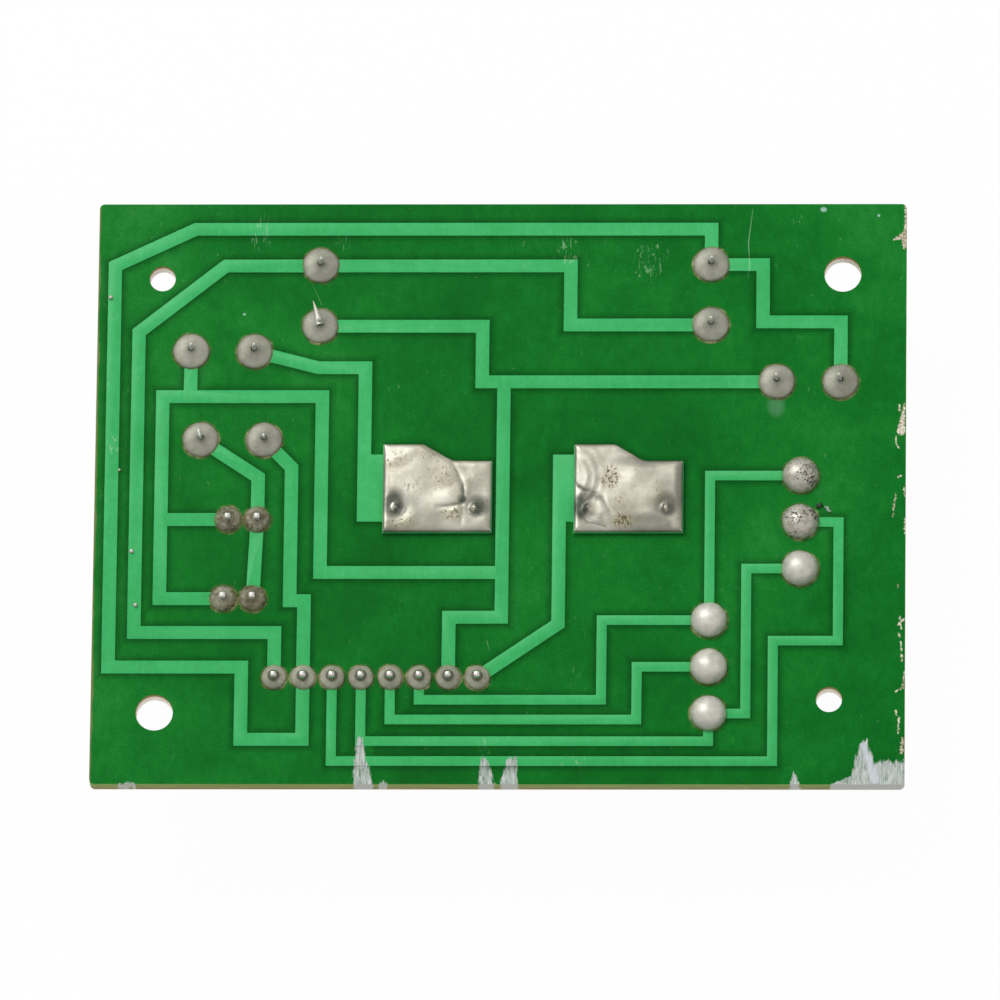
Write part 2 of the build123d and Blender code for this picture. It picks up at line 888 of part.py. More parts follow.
# Suppressor: a coated disc on edge, its leads running into the coating
disc_radius = disc_diameter / 2
disc_middle = Vector(place["suppressor"].X, place["suppressor"].Y, -disc_standoff - disc_radius)
with BuildPart() as suppressor_disc:
    with BuildSketch(Plane(disc_middle, x_dir=(1, 0, 0), z_dir=(0, -1, 0))):
        RegularPolygon(disc_radius, disc_sides)
    extrude(amount=disc_thickness / 2 - disc_edge, both=True)
    ends = suppressor_disc.faces().sort_by(Axis.Y)
    for end in (ends[0], ends[-1]):
        extrude(end, amount=disc_edge, taper=disc_edge_slope)
    with BuildSketch():
        with Locations(*suppressor):
            add(lead_sections["round"])
    extrude(amount=-disc_standoff - disc_lead_depth, mode=Mode.SUBTRACT)
save(suppressor_disc.part, "suppressor_disc")


# Fuse: a glass tube with a cap on each end and the wire between them
fuse_radius = fuse_cap_diameter / 2
tube_radius = fuse_radius - fuse_cap_wall
fuse_middle = Vector(place["fuse"].X, place["fuse"].Y, -fuse_axis_drop)
tube_length = fuse_length - fuse_cap_wall * 2
with BuildPart() as fuse_tube:
    with BuildSketch(Plane(fuse_middle, x_dir=(0, 1, 0), z_dir=(1, 0, 0))):
        Circle(tube_radius)
        Circle(fuse_bore / 2, mode=Mode.SUBTRACT)
    extrude(amount=tube_length / 2, both=True)
save(fuse_tube.part, "fuse_tube")

with BuildPart() as fuse_wire:
    with BuildSketch(Plane(fuse_middle, x_dir=(0, 1, 0), z_dir=(1, 0, 0))):
        RegularPolygon(fuse_wire_diameter / 2, lead_sides)
    extrude(amount=tube_length / 2, both=True)
save(fuse_wire.part, "fuse_wire")

clip_names = ("fuse_out", "fuse_feed")
for name, side in zip(clip_names, (-1, 1)):
    outer_end = fuse_middle + Vector(side * fuse_length / 2, 0, 0)
    with BuildPart() as fuse_cap:
        with BuildSketch(Plane(outer_end, x_dir=(0, 1, 0), z_dir=(-side, 0, 0))):
            Circle(fuse_radius)
        extrude(amount=fuse_cap_length)
        with BuildSketch(Plane(outer_end, x_dir=(0, 1, 0), z_dir=(-side, 0, 0)).offset(fuse_cap_wall)):
            Circle(tube_radius)
        extrude(amount=fuse_cap_length, mode=Mode.SUBTRACT)
    save(fuse_cap.part, f"{name}_cap")


# Clips: a base with two legs through the board, sprung fingers round the cap and an end stop
def make_clip(name, number, side):
    """One clip; side is -1 for the left one and 1 for the right one."""
    middle = clip_places[number]
    leg_tip = foil_top_height + clip_leg_reach
    fuse_end = Vector(fuse_middle.X + side * fuse_length / 2, fuse_middle.Y, fuse_middle.Z)
    stop_place = Vector(fuse_end.X + side * end_stop_gap, fuse_end.Y, fuse_end.Z)
    inner = fuse_radius + grip_clearance
    outer = inner + clip_metal
    with BuildPart() as clip:
        with BuildSketch():
            with Locations(middle):
                Rectangle(clip_leg_spacing + clip_leg_width, clip_base_width)
        extrude(amount=-clip_metal)
        with BuildSketch():
            with Locations(*clip_legs[number]):
                add(lead_sections["clip"])
        extrude(amount=leg_tip)
        with BuildSketch(Plane(fuse_end, x_dir=(0, 1, 0), z_dir=(1, 0, 0))):
            Circle(outer)
            with Locations((0, fuse_axis_drop)):
                Rectangle(clip_stem_width, fuse_axis_drop, align=(Align.CENTER, Align.MAX))
            Circle(inner, mode=Mode.SUBTRACT)
            ways = [Vector(0, -1).rotate(Axis.Z, turn * clip_mouth_angle / 2) for turn in (-1, 1)]
            with BuildLine():
                Polyline((0, 0), ways[0] * (outer * 2), ways[1] * (outer * 2), close=True)
            make_face(mode=Mode.SUBTRACT)
            for way, turn in zip(ways, (-1, 1)):
                back = way.rotate(Axis.Z, turn * 90) * clip_metal
                heel = way * inner
                toe = way * (outer + clip_lip)
                with BuildLine():
                    Polyline(heel, toe, toe + back, heel + back, close=True)
                make_face()
        extrude(amount=-side * clip_finger_length)
        with BuildSketch(Plane(stop_place, x_dir=(0, 1, 0), z_dir=(1, 0, 0))):
            Rectangle(clip_stem_width, fuse_axis_drop, align=(Align.CENTER, Align.MIN))
        extrude(amount=side * clip_metal)
    save(clip.part, name)


make_clip("fuse_out_clip", 0, -1)
make_clip("fuse_feed_clip", 1, 1)
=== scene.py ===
import functools
import math

import bmesh
import bpy
from mathutils import Matrix, Vector, noise


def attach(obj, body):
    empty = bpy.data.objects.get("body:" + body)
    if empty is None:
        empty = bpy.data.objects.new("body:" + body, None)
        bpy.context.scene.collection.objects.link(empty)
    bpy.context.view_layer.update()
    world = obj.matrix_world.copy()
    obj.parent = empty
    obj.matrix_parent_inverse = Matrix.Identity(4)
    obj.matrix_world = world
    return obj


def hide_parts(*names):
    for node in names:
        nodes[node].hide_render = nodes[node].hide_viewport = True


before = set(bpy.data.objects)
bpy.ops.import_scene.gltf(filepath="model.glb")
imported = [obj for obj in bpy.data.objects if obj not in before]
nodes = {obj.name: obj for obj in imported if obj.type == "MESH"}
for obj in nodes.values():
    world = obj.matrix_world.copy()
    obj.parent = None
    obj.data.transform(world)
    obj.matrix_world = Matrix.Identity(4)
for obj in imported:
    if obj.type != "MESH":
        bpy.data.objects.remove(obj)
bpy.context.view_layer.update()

# Without a seed the noise would differ from run to run
noise.seed_set(1)

# Heights and places in millimetres, in the board's frame
MM = 0.001
BOARD_TOP = 1.6
FOIL_TOP = 1.67
FLOOR = -12.0
HALF_LENGTH = 35.0
HALF_WIDTH = 26.25
# Scrapes lie below the first of these lines, chips to the right of the second
LOWER_WEAR = -21.35
RIGHT_WEAR = 33.55


def row(middle, count, pitch):
    """Places along a row, from left to right."""
    return [(middle[0] + (number - (count - 1) / 2) * pitch, middle[1]) for number in range(count)]


def column(middle, count, pitch):
    """Places down a column, from top to bottom."""
    return [(middle[0], middle[1] + ((count - 1) / 2 - number) * pitch) for number in range(count)]


MAIN_PITCH = 2.5
SIDE_PITCH = 4.2
LAMP_SPACING = 2.54
LEAD_SPACING = 5.5
can_middle = (26.607, 10.038)
main_pins = row((-10.5, -16.695), 8, MAIN_PITCH)
upper_pins = column((25.949, -2.662), 3, SIDE_PITCH)
lower_pins = column((18.144, -15.719), 3, SIDE_PITCH)
lamps = {
    "upper_lamp": row((-22.148, -2.447), 2, LAMP_SPACING),
    "lower_lamp": row((-22.47, -9.597), 2, LAMP_SPACING),
}
two_leads = {
    "right_film_capacitor": column((18.116, 17.96), 2, LEAD_SPACING),
    "left_film_capacitor": column((-15.715, 17.85), 2, LEAD_SPACING),
    "feed_resistor": row((-23.149, 4.762), 2, LEAD_SPACING),
    "electrolytic": row(can_middle, 2, LEAD_SPACING),
    "suppressor": row((-24.101, 12.794), 2, LEAD_SPACING),
}
slab_middles = {"fuse_out": (-5.38, 0.299), "fuse_feed": (11.12, 0.299)}


# Shader sockets that take part in arithmetic
class Value:
    """A socket of a node tree; arithmetic on it adds Math nodes."""

    def __init__(self, tree, end):
        self.tree = tree
        self.end = end

    def math(self, operation, *operands):
        step = self.tree.nodes.new("ShaderNodeMath")
        step.operation = operation
        for entry, operand in zip(step.inputs, operands):
            plug(self.tree, entry, operand)
        return Value(self.tree, step.outputs[0])

    def __add__(self, other):
        return self.math("ADD", self, other)

    def __radd__(self, other):
        return self.math("ADD", other, self)

    def __sub__(self, other):
        return self.math("SUBTRACT", self, other)

    def __rsub__(self, other):
        return self.math("SUBTRACT", other, self)

    def __mul__(self, other):
        return self.math("MULTIPLY", self, other)

    def __rmul__(self, other):
        return self.math("MULTIPLY", other, self)

    def __abs__(self):
        return self.math("ABSOLUTE", self)

    def __pow__(self, other):
        return self.math("POWER", self, other)

    def most(self, other):
        return self.math("MAXIMUM", self, other)

    def least(self, other):
        return self.math("MINIMUM", self, other)

    def clip(self):
        return self.most(0.0).least(1.0)


def plug(tree, entry, value):
    """Link a Value to an input, or set the input to a plain number, colour or vector."""
    if isinstance(value, Value):
        tree.links.new(value.end, entry)
    else:
        entry.default_value = value


def srgb(red, green, blue):
    """Linear colour of an 8-bit screen colour."""
    return tuple(
        (part / 255 / 12.92) if part <= 10 else ((part / 255 + 0.055) / 1.055) ** 2.4
        for part in (red, green, blue)
    )


class Nodes:
    """A node tree in the making."""

    def __init__(self, tree):
        self.tree = tree
        tree.nodes.clear()

    def node(self, kind, settings=None, inputs=None, output=0):
        """Any node: its settings first, then its inputs; gives one output, or the node itself."""
        made = self.tree.nodes.new("ShaderNode" + kind)
        for key, value in (settings or {}).items():
            if key == "stops":
                ramp = made.color_ramp.elements
                while len(ramp) < len(value):
                    ramp.new(1.0)
                for stop, (position, colour) in zip(ramp, value):
                    stop.position = position
                    stop.color = (*srgb(*colour), 1.0)
            else:
                setattr(made, key, value)
        for key, value in (inputs or {}).items():
            plug(self.tree, made.inputs[key], value)
        return made if output is None else Value(self.tree, made.outputs[output])

    def outputs(self, kind, names, inputs=None):
        """Several outputs of one node."""
        made = self.node(kind, {}, inputs, output=None)
        return [Value(self.tree, made.outputs[name]) for name in names]


class Finish(Nodes):
    """A material in the making, with its place on the object in millimetres."""

    def __init__(self, name):
        self.material = bpy.data.materials.new(name)
        self.material.use_nodes = True
        super().__init__(self.material.node_tree)
        place = self.node("TexCoord", output="Object")
        inputs = {"Vector": place, "Scale": 1 / MM}
        self.place = self.node("VectorMath", {"operation": "SCALE"}, inputs)
        self.x, self.y, self.z = self.outputs("SeparateXYZ", "XYZ", {"Vector": self.place})

    def grain(self, scale, detail=3.0, rough=0.55, stretch=(1, 1, 1), turn=0.0, shift=(0, 0, 0)):
        """Noise from 0 to 1 whose scale is in cycles per millimetre."""
        inputs = {"Vector": self.place, "Scale": stretch, "Rotation": (0, 0, turn), "Location": shift}
        at = self.node("Mapping", {}, inputs)
        inputs = {"Vector": at, "Scale": scale, "Detail": detail, "Roughness": rough}
        return self.node("TexNoise", {}, inputs)

    def mix(self, share, first, second):
        """Colour between two others, which are outputs or screen colours."""
        settings = {"data_type": "RGBA", "clamp_factor": True}
        made = self.node("Mix", settings, {}, output=None)
        for entry, value in ((0, share), (6, first), (7, second)):
            if isinstance(value, tuple):
                value = (*srgb(*value), 1.0)
            plug(self.tree, made.inputs[entry], value)
        return Value(self.tree, made.outputs[2])

    def ramp(self, share, stops):
        """Colour along stops of a position and a screen colour."""
        return self.node("ValToRGB", {"stops": stops}, {"Fac": share})

    def bump(self, height, distance, strength):
        """Normal from a height; the distance is in millimetres."""
        inputs = {"Height": height, "Distance": distance * MM, "Strength": strength}
        return self.node("Bump", {}, inputs)

    def patch(self, middle, reach):
        """Soft round or oval patch: 1 at its middle, fading to 0 beyond its reach."""
        across = (self.x - middle[0]) * (1 / reach[0])
        up = (self.y - middle[1]) * (1 / reach[1])
        return (1.25 - (across * across + up * up)).clip()

    def stroke(self, start, end, widths, ragged, edge=14.0):
        """Tapered stroke from a start to an end, with a ragged edge."""
        along = (end[0] - start[0], end[1] - start[1])
        square = along[0] ** 2 + along[1] ** 2
        share = (self.x - start[0]) * (along[0] / square) + (self.y - start[1]) * (along[1] / square)
        share = share.clip()
        across = self.x - start[0] - share * along[0]
        up = self.y - start[1] - share * along[1]
        away = (across * across + up * up) ** 0.5
        return ((share * (widths[1] - widths[0]) + widths[0] + ragged - away) * edge).clip()

    def shade(self, **inputs):
        """End in one surface shader; names are its sockets with _ for spaces."""
        named = {key.replace("_", " "): value for key, value in inputs.items()}
        surface = self.node("BsdfPrincipled", {}, named)
        self.node("OutputMaterial", {}, {"Surface": surface}, output=None)
        return self.material


def strongest(shares):
    """The greatest of several shares."""
    return functools.reduce(Value.most, shares)


# Wear on the board and its tracks
scrapes = (
    # left and right edge at the foot, left and right edge at the head, height of the head
    (-12.35, -10.55, -12.0, -11.6, -21.95), (-10.2, -9.35, -10.0, -9.6, -25.95),
    (-1.6, -0.2, -1.4, -0.7, -23.9), (0.3, 1.9, 1.1, 1.8, -23.6),
    (25.1, 26.1, 25.5, 25.8, -25.2), (30.3, 33.0, 31.1, 31.8, -22.3),
    (32.0, 36.0, 32.6, 35.4, -24.1), (28.6, 36.0, 30.6, 36.0, -25.4),
    (-32.6, -31.0, -32.0, -31.3, -26.0),
)
# Chips and scratches have a start, an end, and a half width at each
chips = (
    ((34.97, 26.3), (34.98, 24.65), (0.16, 0.16)), ((34.98, 24.65), (34.86, 22.46), (0.16, 0.22)),
    ((34.86, 23.37), (33.86, 23.0), (0.4, 0.06)), ((34.86, 23.0), (34.82, 22.18), (0.34, 0.09)),
    ((34.88, 8.06), (34.58, 5.52), (0.07, 0.35)), ((34.42, 7.97), (34.47, 7.43), (0.08, 0.08)),
    ((34.15, 5.07), (34.2, 4.43), (0.06, 0.06)), ((34.2, 4.43), (34.46, 3.98), (0.06, 0.04)),
    ((34.39, 1.4), (34.6, 1.58), (0.09, 0.07)), ((34.86, 0.45), (34.91, -0.28), (0.07, 0.05)),
    ((34.15, -0.19), (33.89, -2.15), (0.06, 0.06)), ((34.96, -2.36), (34.97, -3.62), (0.07, 0.07)),
    ((34.32, -8.32), (34.38, -8.5), (0.07, 0.07)), ((34.36, -11.92), (34.83, -11.47), (0.06, 0.13)),
    ((34.57, -11.11), (34.66, -12.28), (0.05, 0.07)), ((34.47, -12.65), (34.54, -13.01), (0.08, 0.08)),
    ((34.62, -13.37), (34.71, -14.18), (0.05, 0.08)), ((34.71, -14.63), (34.76, -15.17), (0.1, 0.07)),
    ((34.97, -16.15), (34.83, -17.59), (0.06, 0.08)), ((34.83, -17.59), (34.21, -17.91), (0.08, 0.05)),
    ((34.22, -19.57), (34.29, -20.02), (0.07, 0.07)), ((34.52, -20.29), (34.44, -21.63), (0.1, 0.05)),
    ((34.85, -22.08), (34.75, -23.34), (0.11, 0.17)), ((-31.3, -25.9), (-31.15, -25.0), (0.07, 0.03)),
)
scratches = (
    ((-16.42, 18.9), (-15.61, 17.07), (0.03, 0.05)), ((21.66, 25.75), (21.31, 22.78), (0.05, 0.08)),
    ((21.31, 22.78), (21.42, 20.49), (0.08, 0.06)), ((21.42, 20.49), (21.27, 19.58), (0.06, 0.04)),
    ((-0.95, -13.4), (-0.7, -14.3), (0.06, 0.03)), ((-33.9, 15.8), (-33.3, 15.8), (0.04, 0.03)),
)
scuffs = (
    # middle and reach of each patch of fine scratches
    ((-20.9, 23.4), (1.1, 2.2)), ((5.5, 21.9), (1.2, 1.7)),
    ((12.9, 21.0), (1.8, 2.4)), ((6.8, -16.3), (0.9, 1.1)),
    ((-33.2, 4.3), (0.8, 1.3)), ((-14.1, 22.6), (1.5, 1.2)),
    ((25.5, 25.0), (1.3, 0.7)), ((-6.2, -22.6), (0.8, 0.7)),
    ((-1.2, -22.9), (0.9, 0.8)), ((7.0, -24.2), (1.6, 0.7)),
)
drops = (
    # middle, reach and strength of each dried, pale drop
    ((27.8, 25.75), (0.3, 0.24), 0.7), ((32.58, 25.2), (0.14, 0.14), 0.7),
    ((-22.3, 16.2), (0.14, 0.12), 0.7), ((23.8, 7.9), (0.8, 1.1), 0.12),
)


def scraped(finish):
    """Share of bare, whitened glass where something dragged across the lower edge."""
    ragged = finish.grain(1.6, 4.0, 0.7, (1.6, 0.5, 1)) - 0.5
    side_wander = ragged * 1.1
    head_wander = ragged * 2.2

    def scrape_share(left_foot, right_foot, left_head, right_head, head):
        rise = (finish.y + HALF_WIDTH) * (1 / (head + HALF_WIDTH))
        left = rise * (left_head - left_foot) + left_foot
        right = rise * (right_head - right_foot) + right_foot
        inside = (finish.x - left + side_wander) * 7.0
        inside = inside.least((right - finish.x + side_wander) * 7.0)
        return inside.least((head - finish.y + head_wander) * 4.0).clip()

    return strongest(scrape_share(*scrape) for scrape in scrapes)


def bare_glass(finish):
    """Colour of scraped glass cloth, streaked along the drag."""
    streaks = finish.grain(2.2, 4.0, 0.7, (3.2, 0.5, 1))
    stops = [(0.34, (108, 136, 114)), (0.47, (168, 178, 170)), (0.68, (214, 218, 214))]
    glass = finish.ramp(streaks, stops)
    hard_drag = finish.stroke((31.3, -22.4), (32.5, -25.8), (0.3, 0.5), (streaks - 0.5) * 0.5, 4.0)
    return finish.mix(hard_drag * 0.75, glass, (206, 211, 219))


def chipped(finish):
    """Share of bare laminate where the lacquer has flaked off the right edge."""
    ragged = (finish.grain(5.0, 3.0, 0.65) - 0.5) * 0.42 + 0.02
    return strongest(finish.stroke(start, end, widths, ragged) for start, end, widths in chips)


def scratched(finish):
    """Share of fine, pale scratches: scattered, close in the scuffed patches, and a few long ones."""
    fine = finish.grain(1.1, 4.0, 0.75, (5.0, 0.8, 1), 0.25)
    flecks = finish.grain(1.5, 3.0, 0.6, (1.4, 0.9, 1), shift=(3, 7, 0))
    where = finish.grain(0.085, 2.0, 0.5, shift=(11, 4, 0))
    rubbed = functools.reduce(Value.__add__, [finish.patch(middle, reach) for middle, reach in scuffs])
    lines = ((fine - 0.63 + rubbed * 0.07) * 11.0).clip() * ((where - 0.45) * 5.0 + rubbed).clip()
    dots = ((flecks - 0.69 + rubbed * 0.07) * 20.0).clip() * ((where - 0.34) * 5.0 + rubbed).clip()
    upper = ((finish.y - 4.0) * 0.05 + rubbed).clip() * 0.5 + 0.5
    marks = (lines * (0.35 + rubbed * 0.4) + dots * (0.45 + rubbed * 0.3)).clip() * upper
    long_ones = [finish.stroke(start, end, widths, 0.0) for start, end, widths in scratches]
    return strongest([marks] + long_ones)


def lacquered_board(name, scrape_marks=False, chip_marks=False):
    """Green lacquer on the solder face, gone where it is scraped or chipped."""
    finish = Finish(name)
    broad = finish.grain(0.06, 2.0, 0.5)
    cloud = finish.grain(0.3, 3.0, 0.6)
    blotch = finish.grain(1.1, 3.0, 0.65, (1.5, 0.8, 1), 0.3)
    grit = finish.grain(5.0, 1.0, 0.6)
    # Painted light: the lacquer is made lighter towards the left end and towards the upper right, as the
    # light falls off across the board
    painted_left_light = ((finish.x + 8.0) * -0.0045).clip()
    painted_right_light = ((finish.x - 4.0) * 0.034).clip() * ((finish.y + 12.0) * 0.03).clip() * 0.14
    tone = 0.44 + (broad - 0.5) * 0.55 + (cloud - 0.5) * 0.4 + (blotch - 0.5) * 0.24 + (grit - 0.5) * 0.24
    tone = tone + painted_left_light + painted_right_light
    greens = [(0.22, (0, 88, 20)), (0.42, (2, 104, 27)), (0.56, (12, 117, 35)), (0.82, (44, 138, 58))]
    green = finish.ramp(tone.clip(), greens)
    scratch = scratched(finish)
    green = finish.mix(scratch * 0.75, green, (128, 178, 130))
    for middle, reach, strength in drops:
        green = finish.mix(finish.patch(middle, reach) * strength, green, (178, 214, 200))
    worn_edge = ((0.2 - HALF_LENGTH - finish.x + (cloud - 0.5) * 0.5) * 9.0).clip() * 0.6
    face = finish.mix(worn_edge, green, (140, 128, 88))
    rough = 0.42 + scratch * 0.15 + (cloud - 0.5) * 0.16
    if scrape_marks:
        scrape = scraped(finish)
        face = finish.mix(scrape, face, bare_glass(finish))
        rough = rough + scrape * 0.3
    if chip_marks:
        chip = chipped(finish)
        stops = [(0.38, (142, 126, 96)), (0.62, (232, 226, 208))]
        flake = finish.ramp(cloud * 0.4 + grit * 0.6, stops)
        face = finish.mix(chip, face, flake)
        rough = rough + chip * 0.3
    normal = finish.bump(blotch * 0.3 + grit * 0.12, 0.05, 0.5)
    return finish.shade(Base_Color=face, Roughness=rough, Normal=normal, Specular_IOR_Level=0.06)


def bare_laminate():
    """Glass and resin of the sawn edges, the hole walls and the component face."""
    finish = Finish("bare_laminate")
    cloud = finish.grain(0.8, 3.0, 0.6)
    layers = finish.grain(1.0, 2.0, 0.6, (0.25, 0.25, 5.0)) * 0.6 + cloud * 0.4
    browns = [(0.3, (122, 108, 60)), (0.5, (146, 132, 82)), (0.7, (176, 164, 116))]
    greens = [(0.3, (112, 142, 50)), (0.6, (142, 164, 82)), (0.8, (164, 176, 106))]
    low = finish.ramp(layers, browns)
    high = finish.ramp(layers, greens)
    edge = finish.mix(((finish.z - 0.5) * 5.0).clip(), low, high)
    bore = finish.mix(((finish.z - 1.0) * 5.0).clip(), (252, 248, 238), (160, 124, 54))
    clear_of_ends = ((HALF_LENGTH - 0.15 - abs(finish.x)) * 20.0).clip()
    inside = ((HALF_WIDTH - 0.15 - abs(finish.y)) * 20.0).clip() * clear_of_ends
    edge = finish.mix(inside, edge, bore)
    scrape = scraped(finish)
    edge = finish.mix(scrape, edge, (196, 198, 190))
    warp = finish.grain(1.0, 2.0, 0.5, (1.2, 0.2, 1))
    weft = finish.grain(1.0, 2.0, 0.5, (0.2, 1.2, 1))
    weave = warp * 0.5 + weft * 0.5
    stops = [(0.3, (150, 138, 86)), (0.5, (176, 164, 110)), (0.7, (194, 184, 132))]
    under = finish.ramp(weave * 0.6 + finish.grain(0.12, 3.0) * 0.4, stops)
    colour = finish.mix(((0.06 - finish.z) * 40.0).clip(), edge, under)
    rough = 0.6 + (cloud - 0.5) * 0.2
    normal = finish.bump(cloud, 0.05, 0.5)
    return finish.shade(Base_Color=colour, Roughness=rough, Normal=normal, Specular_IOR_Level=0.2)


def lacquered_track(name, scrape_marks=False):
    """Copper seen through the lacquer: a paler, brighter green."""
    finish = Finish(name)
    cloud = finish.grain(0.3, 3.0, 0.6)
    mottle = finish.grain(2.2, 3.0, 0.65)
    brush = finish.grain(1.4, 3.0, 0.7, (2.5, 0.3, 1), 0.1)
    tone = cloud * 0.45 + mottle * 0.3 + brush * 0.25 + finish.y * 0.0015
    greens = [(0.3, (46, 164, 84)), (0.5, (58, 176, 98)), (0.66, (70, 186, 110)), (0.85, (96, 200, 132))]
    green = finish.ramp(tone.clip(), greens)
    scratch = scratched(finish)
    green = finish.mix(scratch * 0.8, green, (160, 210, 168))
    # Painted shade: the track's side walls are a darker green, for the line of shade along each track's edge
    side = ((finish.z - BOARD_TOP) * 16.0).clip()
    colour = finish.mix(side, (20, 116, 48), green)
    rough = 0.4 + (mottle - 0.5) * 0.2
    if scrape_marks:
        scrape = scraped(finish)
        colour = finish.mix(scrape, colour, bare_glass(finish))
        rough = rough + scrape * 0.3
    normal = finish.bump(mottle * 0.4 + brush * 0.2, 0.04, 0.4)
    return finish.shade(Base_Color=colour, Roughness=rough, Normal=normal, Specular_IOR_Level=0.15)


def lacquer_foot():
    """Painted shade: a dark, see-through film that lies darkest along the foot of each track and thins out on
    the board.
    """
    finish = Finish("lacquer_foot")
    cloud = finish.grain(0.8, 3.0, 0.6)
    colour = finish.ramp(cloud, [(0.3, (0, 54, 12)), (0.7, (0, 76, 20))])
    # Painted shade: most cover at the foot of the track, fading to none out on the board
    thick = ((finish.z - BOARD_TOP) * 16.0).clip()
    scraped_off = finish.patch((-11.4, -23.8), (0.9, 2.2))
    cover = thick * thick * (0.25 + cloud * 0.3) * (1 - scraped_off)
    return finish.shade(Base_Color=colour, Roughness=0.42, Alpha=cover, Specular_IOR_Level=0.06)


def solder(name, dull, bright, roughness, metallic, specks=0.0, stain=0.0, painted_collar_shade=0.0):
    """Grey solder skin, browner at its foot, with painted shade round the lead, sooty where it was burnt."""
    finish = Finish(name)
    broad = finish.grain(0.16, 2.0, 0.5)
    skin = finish.grain(1.6, 3.0, 0.55)
    fine = finish.grain(8.0, 2.0, 0.6)
    colour = finish.ramp((broad * 0.5 + skin * 0.4 + fine * 0.1).clip(), [(0.36, dull), (0.64, bright)])
    brown = ((finish.grain(1.3, 3.0, 0.6, shift=(5, 2, 9)) - 0.44) * 5.0).clip() * stain
    colour = finish.mix(brown, colour, (100, 90, 58))
    colour = finish.mix(((FOIL_TOP + 0.24 - finish.z) * 4.0).clip() * 0.45, colour, (116, 100, 72))
    # Painted shade: the solder is darkened where it climbs the lead, for the dark ring round the pin tip
    colour = finish.mix(((finish.z - FOIL_TOP - 0.52) * 9.0).clip() * painted_collar_shade, colour, (52, 50, 42))
    if specks:
        spots = finish.grain(4.2, 3.0, 0.7, shift=(1, 8, 3))
        thick = finish.grain(0.5, 2.0, 0.5, shift=(6, 1, 2))
        spots = ((spots - 0.55 + (thick - 0.5) * 0.6) * 12.0).clip() * specks
        colour = finish.mix(spots, colour, (40, 34, 26))
    rough = roughness + (skin - 0.5) * 0.2
    normal = finish.bump(skin * 0.6 + fine * 0.15, 0.08, 0.5)
    return finish.shade(Base_Color=colour, Roughness=rough, Metallic=metallic, Normal=normal)


def slab_solder(name, middle, shaded_hollows, shaded_creases, lights, stains, flow):
    """Bright solder sheet, with painted shade and dark painted reflections in its hollows and creases and
    painted highlights, pitted where flux boiled through.
    """
    finish = Finish(name)
    skin = finish.grain(0.35, 3.0, 0.5)
    fine = finish.grain(3.0, 3.0, 0.6)
    stops = [(0.3, (160, 156, 140)), (0.5, (192, 188, 171)), (0.7, (222, 218, 204))]
    colour = finish.ramp((skin * 0.8 + fine * 0.2).clip(), stops)
    ragged = (fine - 0.5) * 0.16

    def placed(point):
        return (middle[0] + point[0], middle[1] + point[1])

    def deepest(patches):
        return strongest(
            finish.patch(placed(point), (reach[0] * 1.2, reach[1] * 1.2)) * depth
            for point, reach, depth in patches
        )

    lines = [
        finish.stroke(placed(start), placed(end), (start[2], end[2]), ragged, 3.4) * depth
        for run, depths in shaded_creases
        for start, end, depth in zip(run, run[1:], depths)
    ]
    # Painted shade and dark painted reflections: hollows and creases are darkened
    painted_shade = strongest([deepest(shaded_hollows)] + lines)
    centre, spacing, band_depth, reach, spread = flow
    across = finish.x - placed(centre)[0]
    up = finish.y - placed(centre)[1]
    away = (across * across + up * up) ** 0.5
    # Painted shade: dark bands along the ripples of the flow
    bands = away.math("COSINE", away * (math.tau / spacing) + fine * 2.0)
    bands = (bands * 0.5 + 0.5) * (1 - abs(away - reach) * (1 / spread)).clip() * band_depth
    # Painted highlights: bright spots where the painted shade is lifted
    painted_shade = painted_shade.most(bands) * (1 - deepest(lights).clip())
    painted_shade = (painted_shade + (fine - 0.5) * 0.4 * painted_shade).clip()
    colour = finish.mix(painted_shade, colour, (66, 72, 60))
    pits = finish.grain(3.2, 3.0, 0.7, (1.3, 0.8, 1), shift=(4, 9, 1))
    flux_stain = deepest(stains)
    pitted = ((pits - 0.62 + flux_stain * 0.15) * 10.0).clip() * (0.6 + flux_stain * 0.35)
    colour = finish.mix(flux_stain * 0.35, colour, (148, 136, 92))
    colour = finish.mix(pitted, colour, (84, 74, 42))
    rough = 0.32 + (skin - 0.5) * 0.2 + pitted * 0.25
    normal = finish.bump(fine * 0.3 - pitted * 0.5, 0.06, 0.4)
    return finish.shade(Base_Color=colour, Roughness=rough, Metallic=0.55, Normal=normal)


def tinned(name, dull, bright, roughness, metallic=1.0):
    """Tinned or plated metal with drawing lines along it."""
    finish = Finish(name)
    drawn = finish.grain(2.0, 3.0, 0.6, (6, 6, 0.3))
    spots = finish.grain(1.2, 3.0, 0.6)
    colour = finish.ramp((drawn * 0.5 + spots * 0.5).clip(), [(0.35, dull), (0.65, bright)])
    rough = roughness + (spots - 0.5) * 0.2
    normal = finish.bump(drawn, 0.02, 0.4)
    return finish.shade(Base_Color=colour, Roughness=rough, Metallic=metallic, Normal=normal)


def resin(name, low, high, roughness, pebble=6.0, depth=0.02):
    """Moulded or dipped plastic with a little grain and dust."""
    finish = Finish(name)
    cloud = finish.grain(0.25, 3.0, 0.55)
    pebbles = finish.grain(pebble, 2.0, 0.5)
    colour = finish.ramp((cloud * 0.75 + pebbles * 0.25).clip(), [(0.32, low), (0.68, high)])
    rough = roughness + (cloud - 0.5) * 0.2
    return finish.shade(Base_Color=colour, Roughness=rough, Normal=finish.bump(pebbles, depth, 0.5))


def flux_resin():
    """Rosin left in a thin, broken ring round each joint, thinner outwards and downwards."""
    finish = Finish("flux_residue")
    cloud = finish.grain(0.9, 3.0, 0.6)
    stops = [(0.3, (84, 84, 40)), (0.5, (134, 128, 76)), (0.7, (206, 202, 150))]
    colour = finish.ramp(cloud, stops)
    broken = ((cloud - 0.34) * 3.0).clip() * 0.5 + 0.15
    cover = ((finish.z - (BOARD_TOP - 0.01)) * 9.0).clip() * broken
    return finish.shade(Base_Color=colour, Roughness=0.3, Alpha=cover, Specular_IOR_Level=0.2)


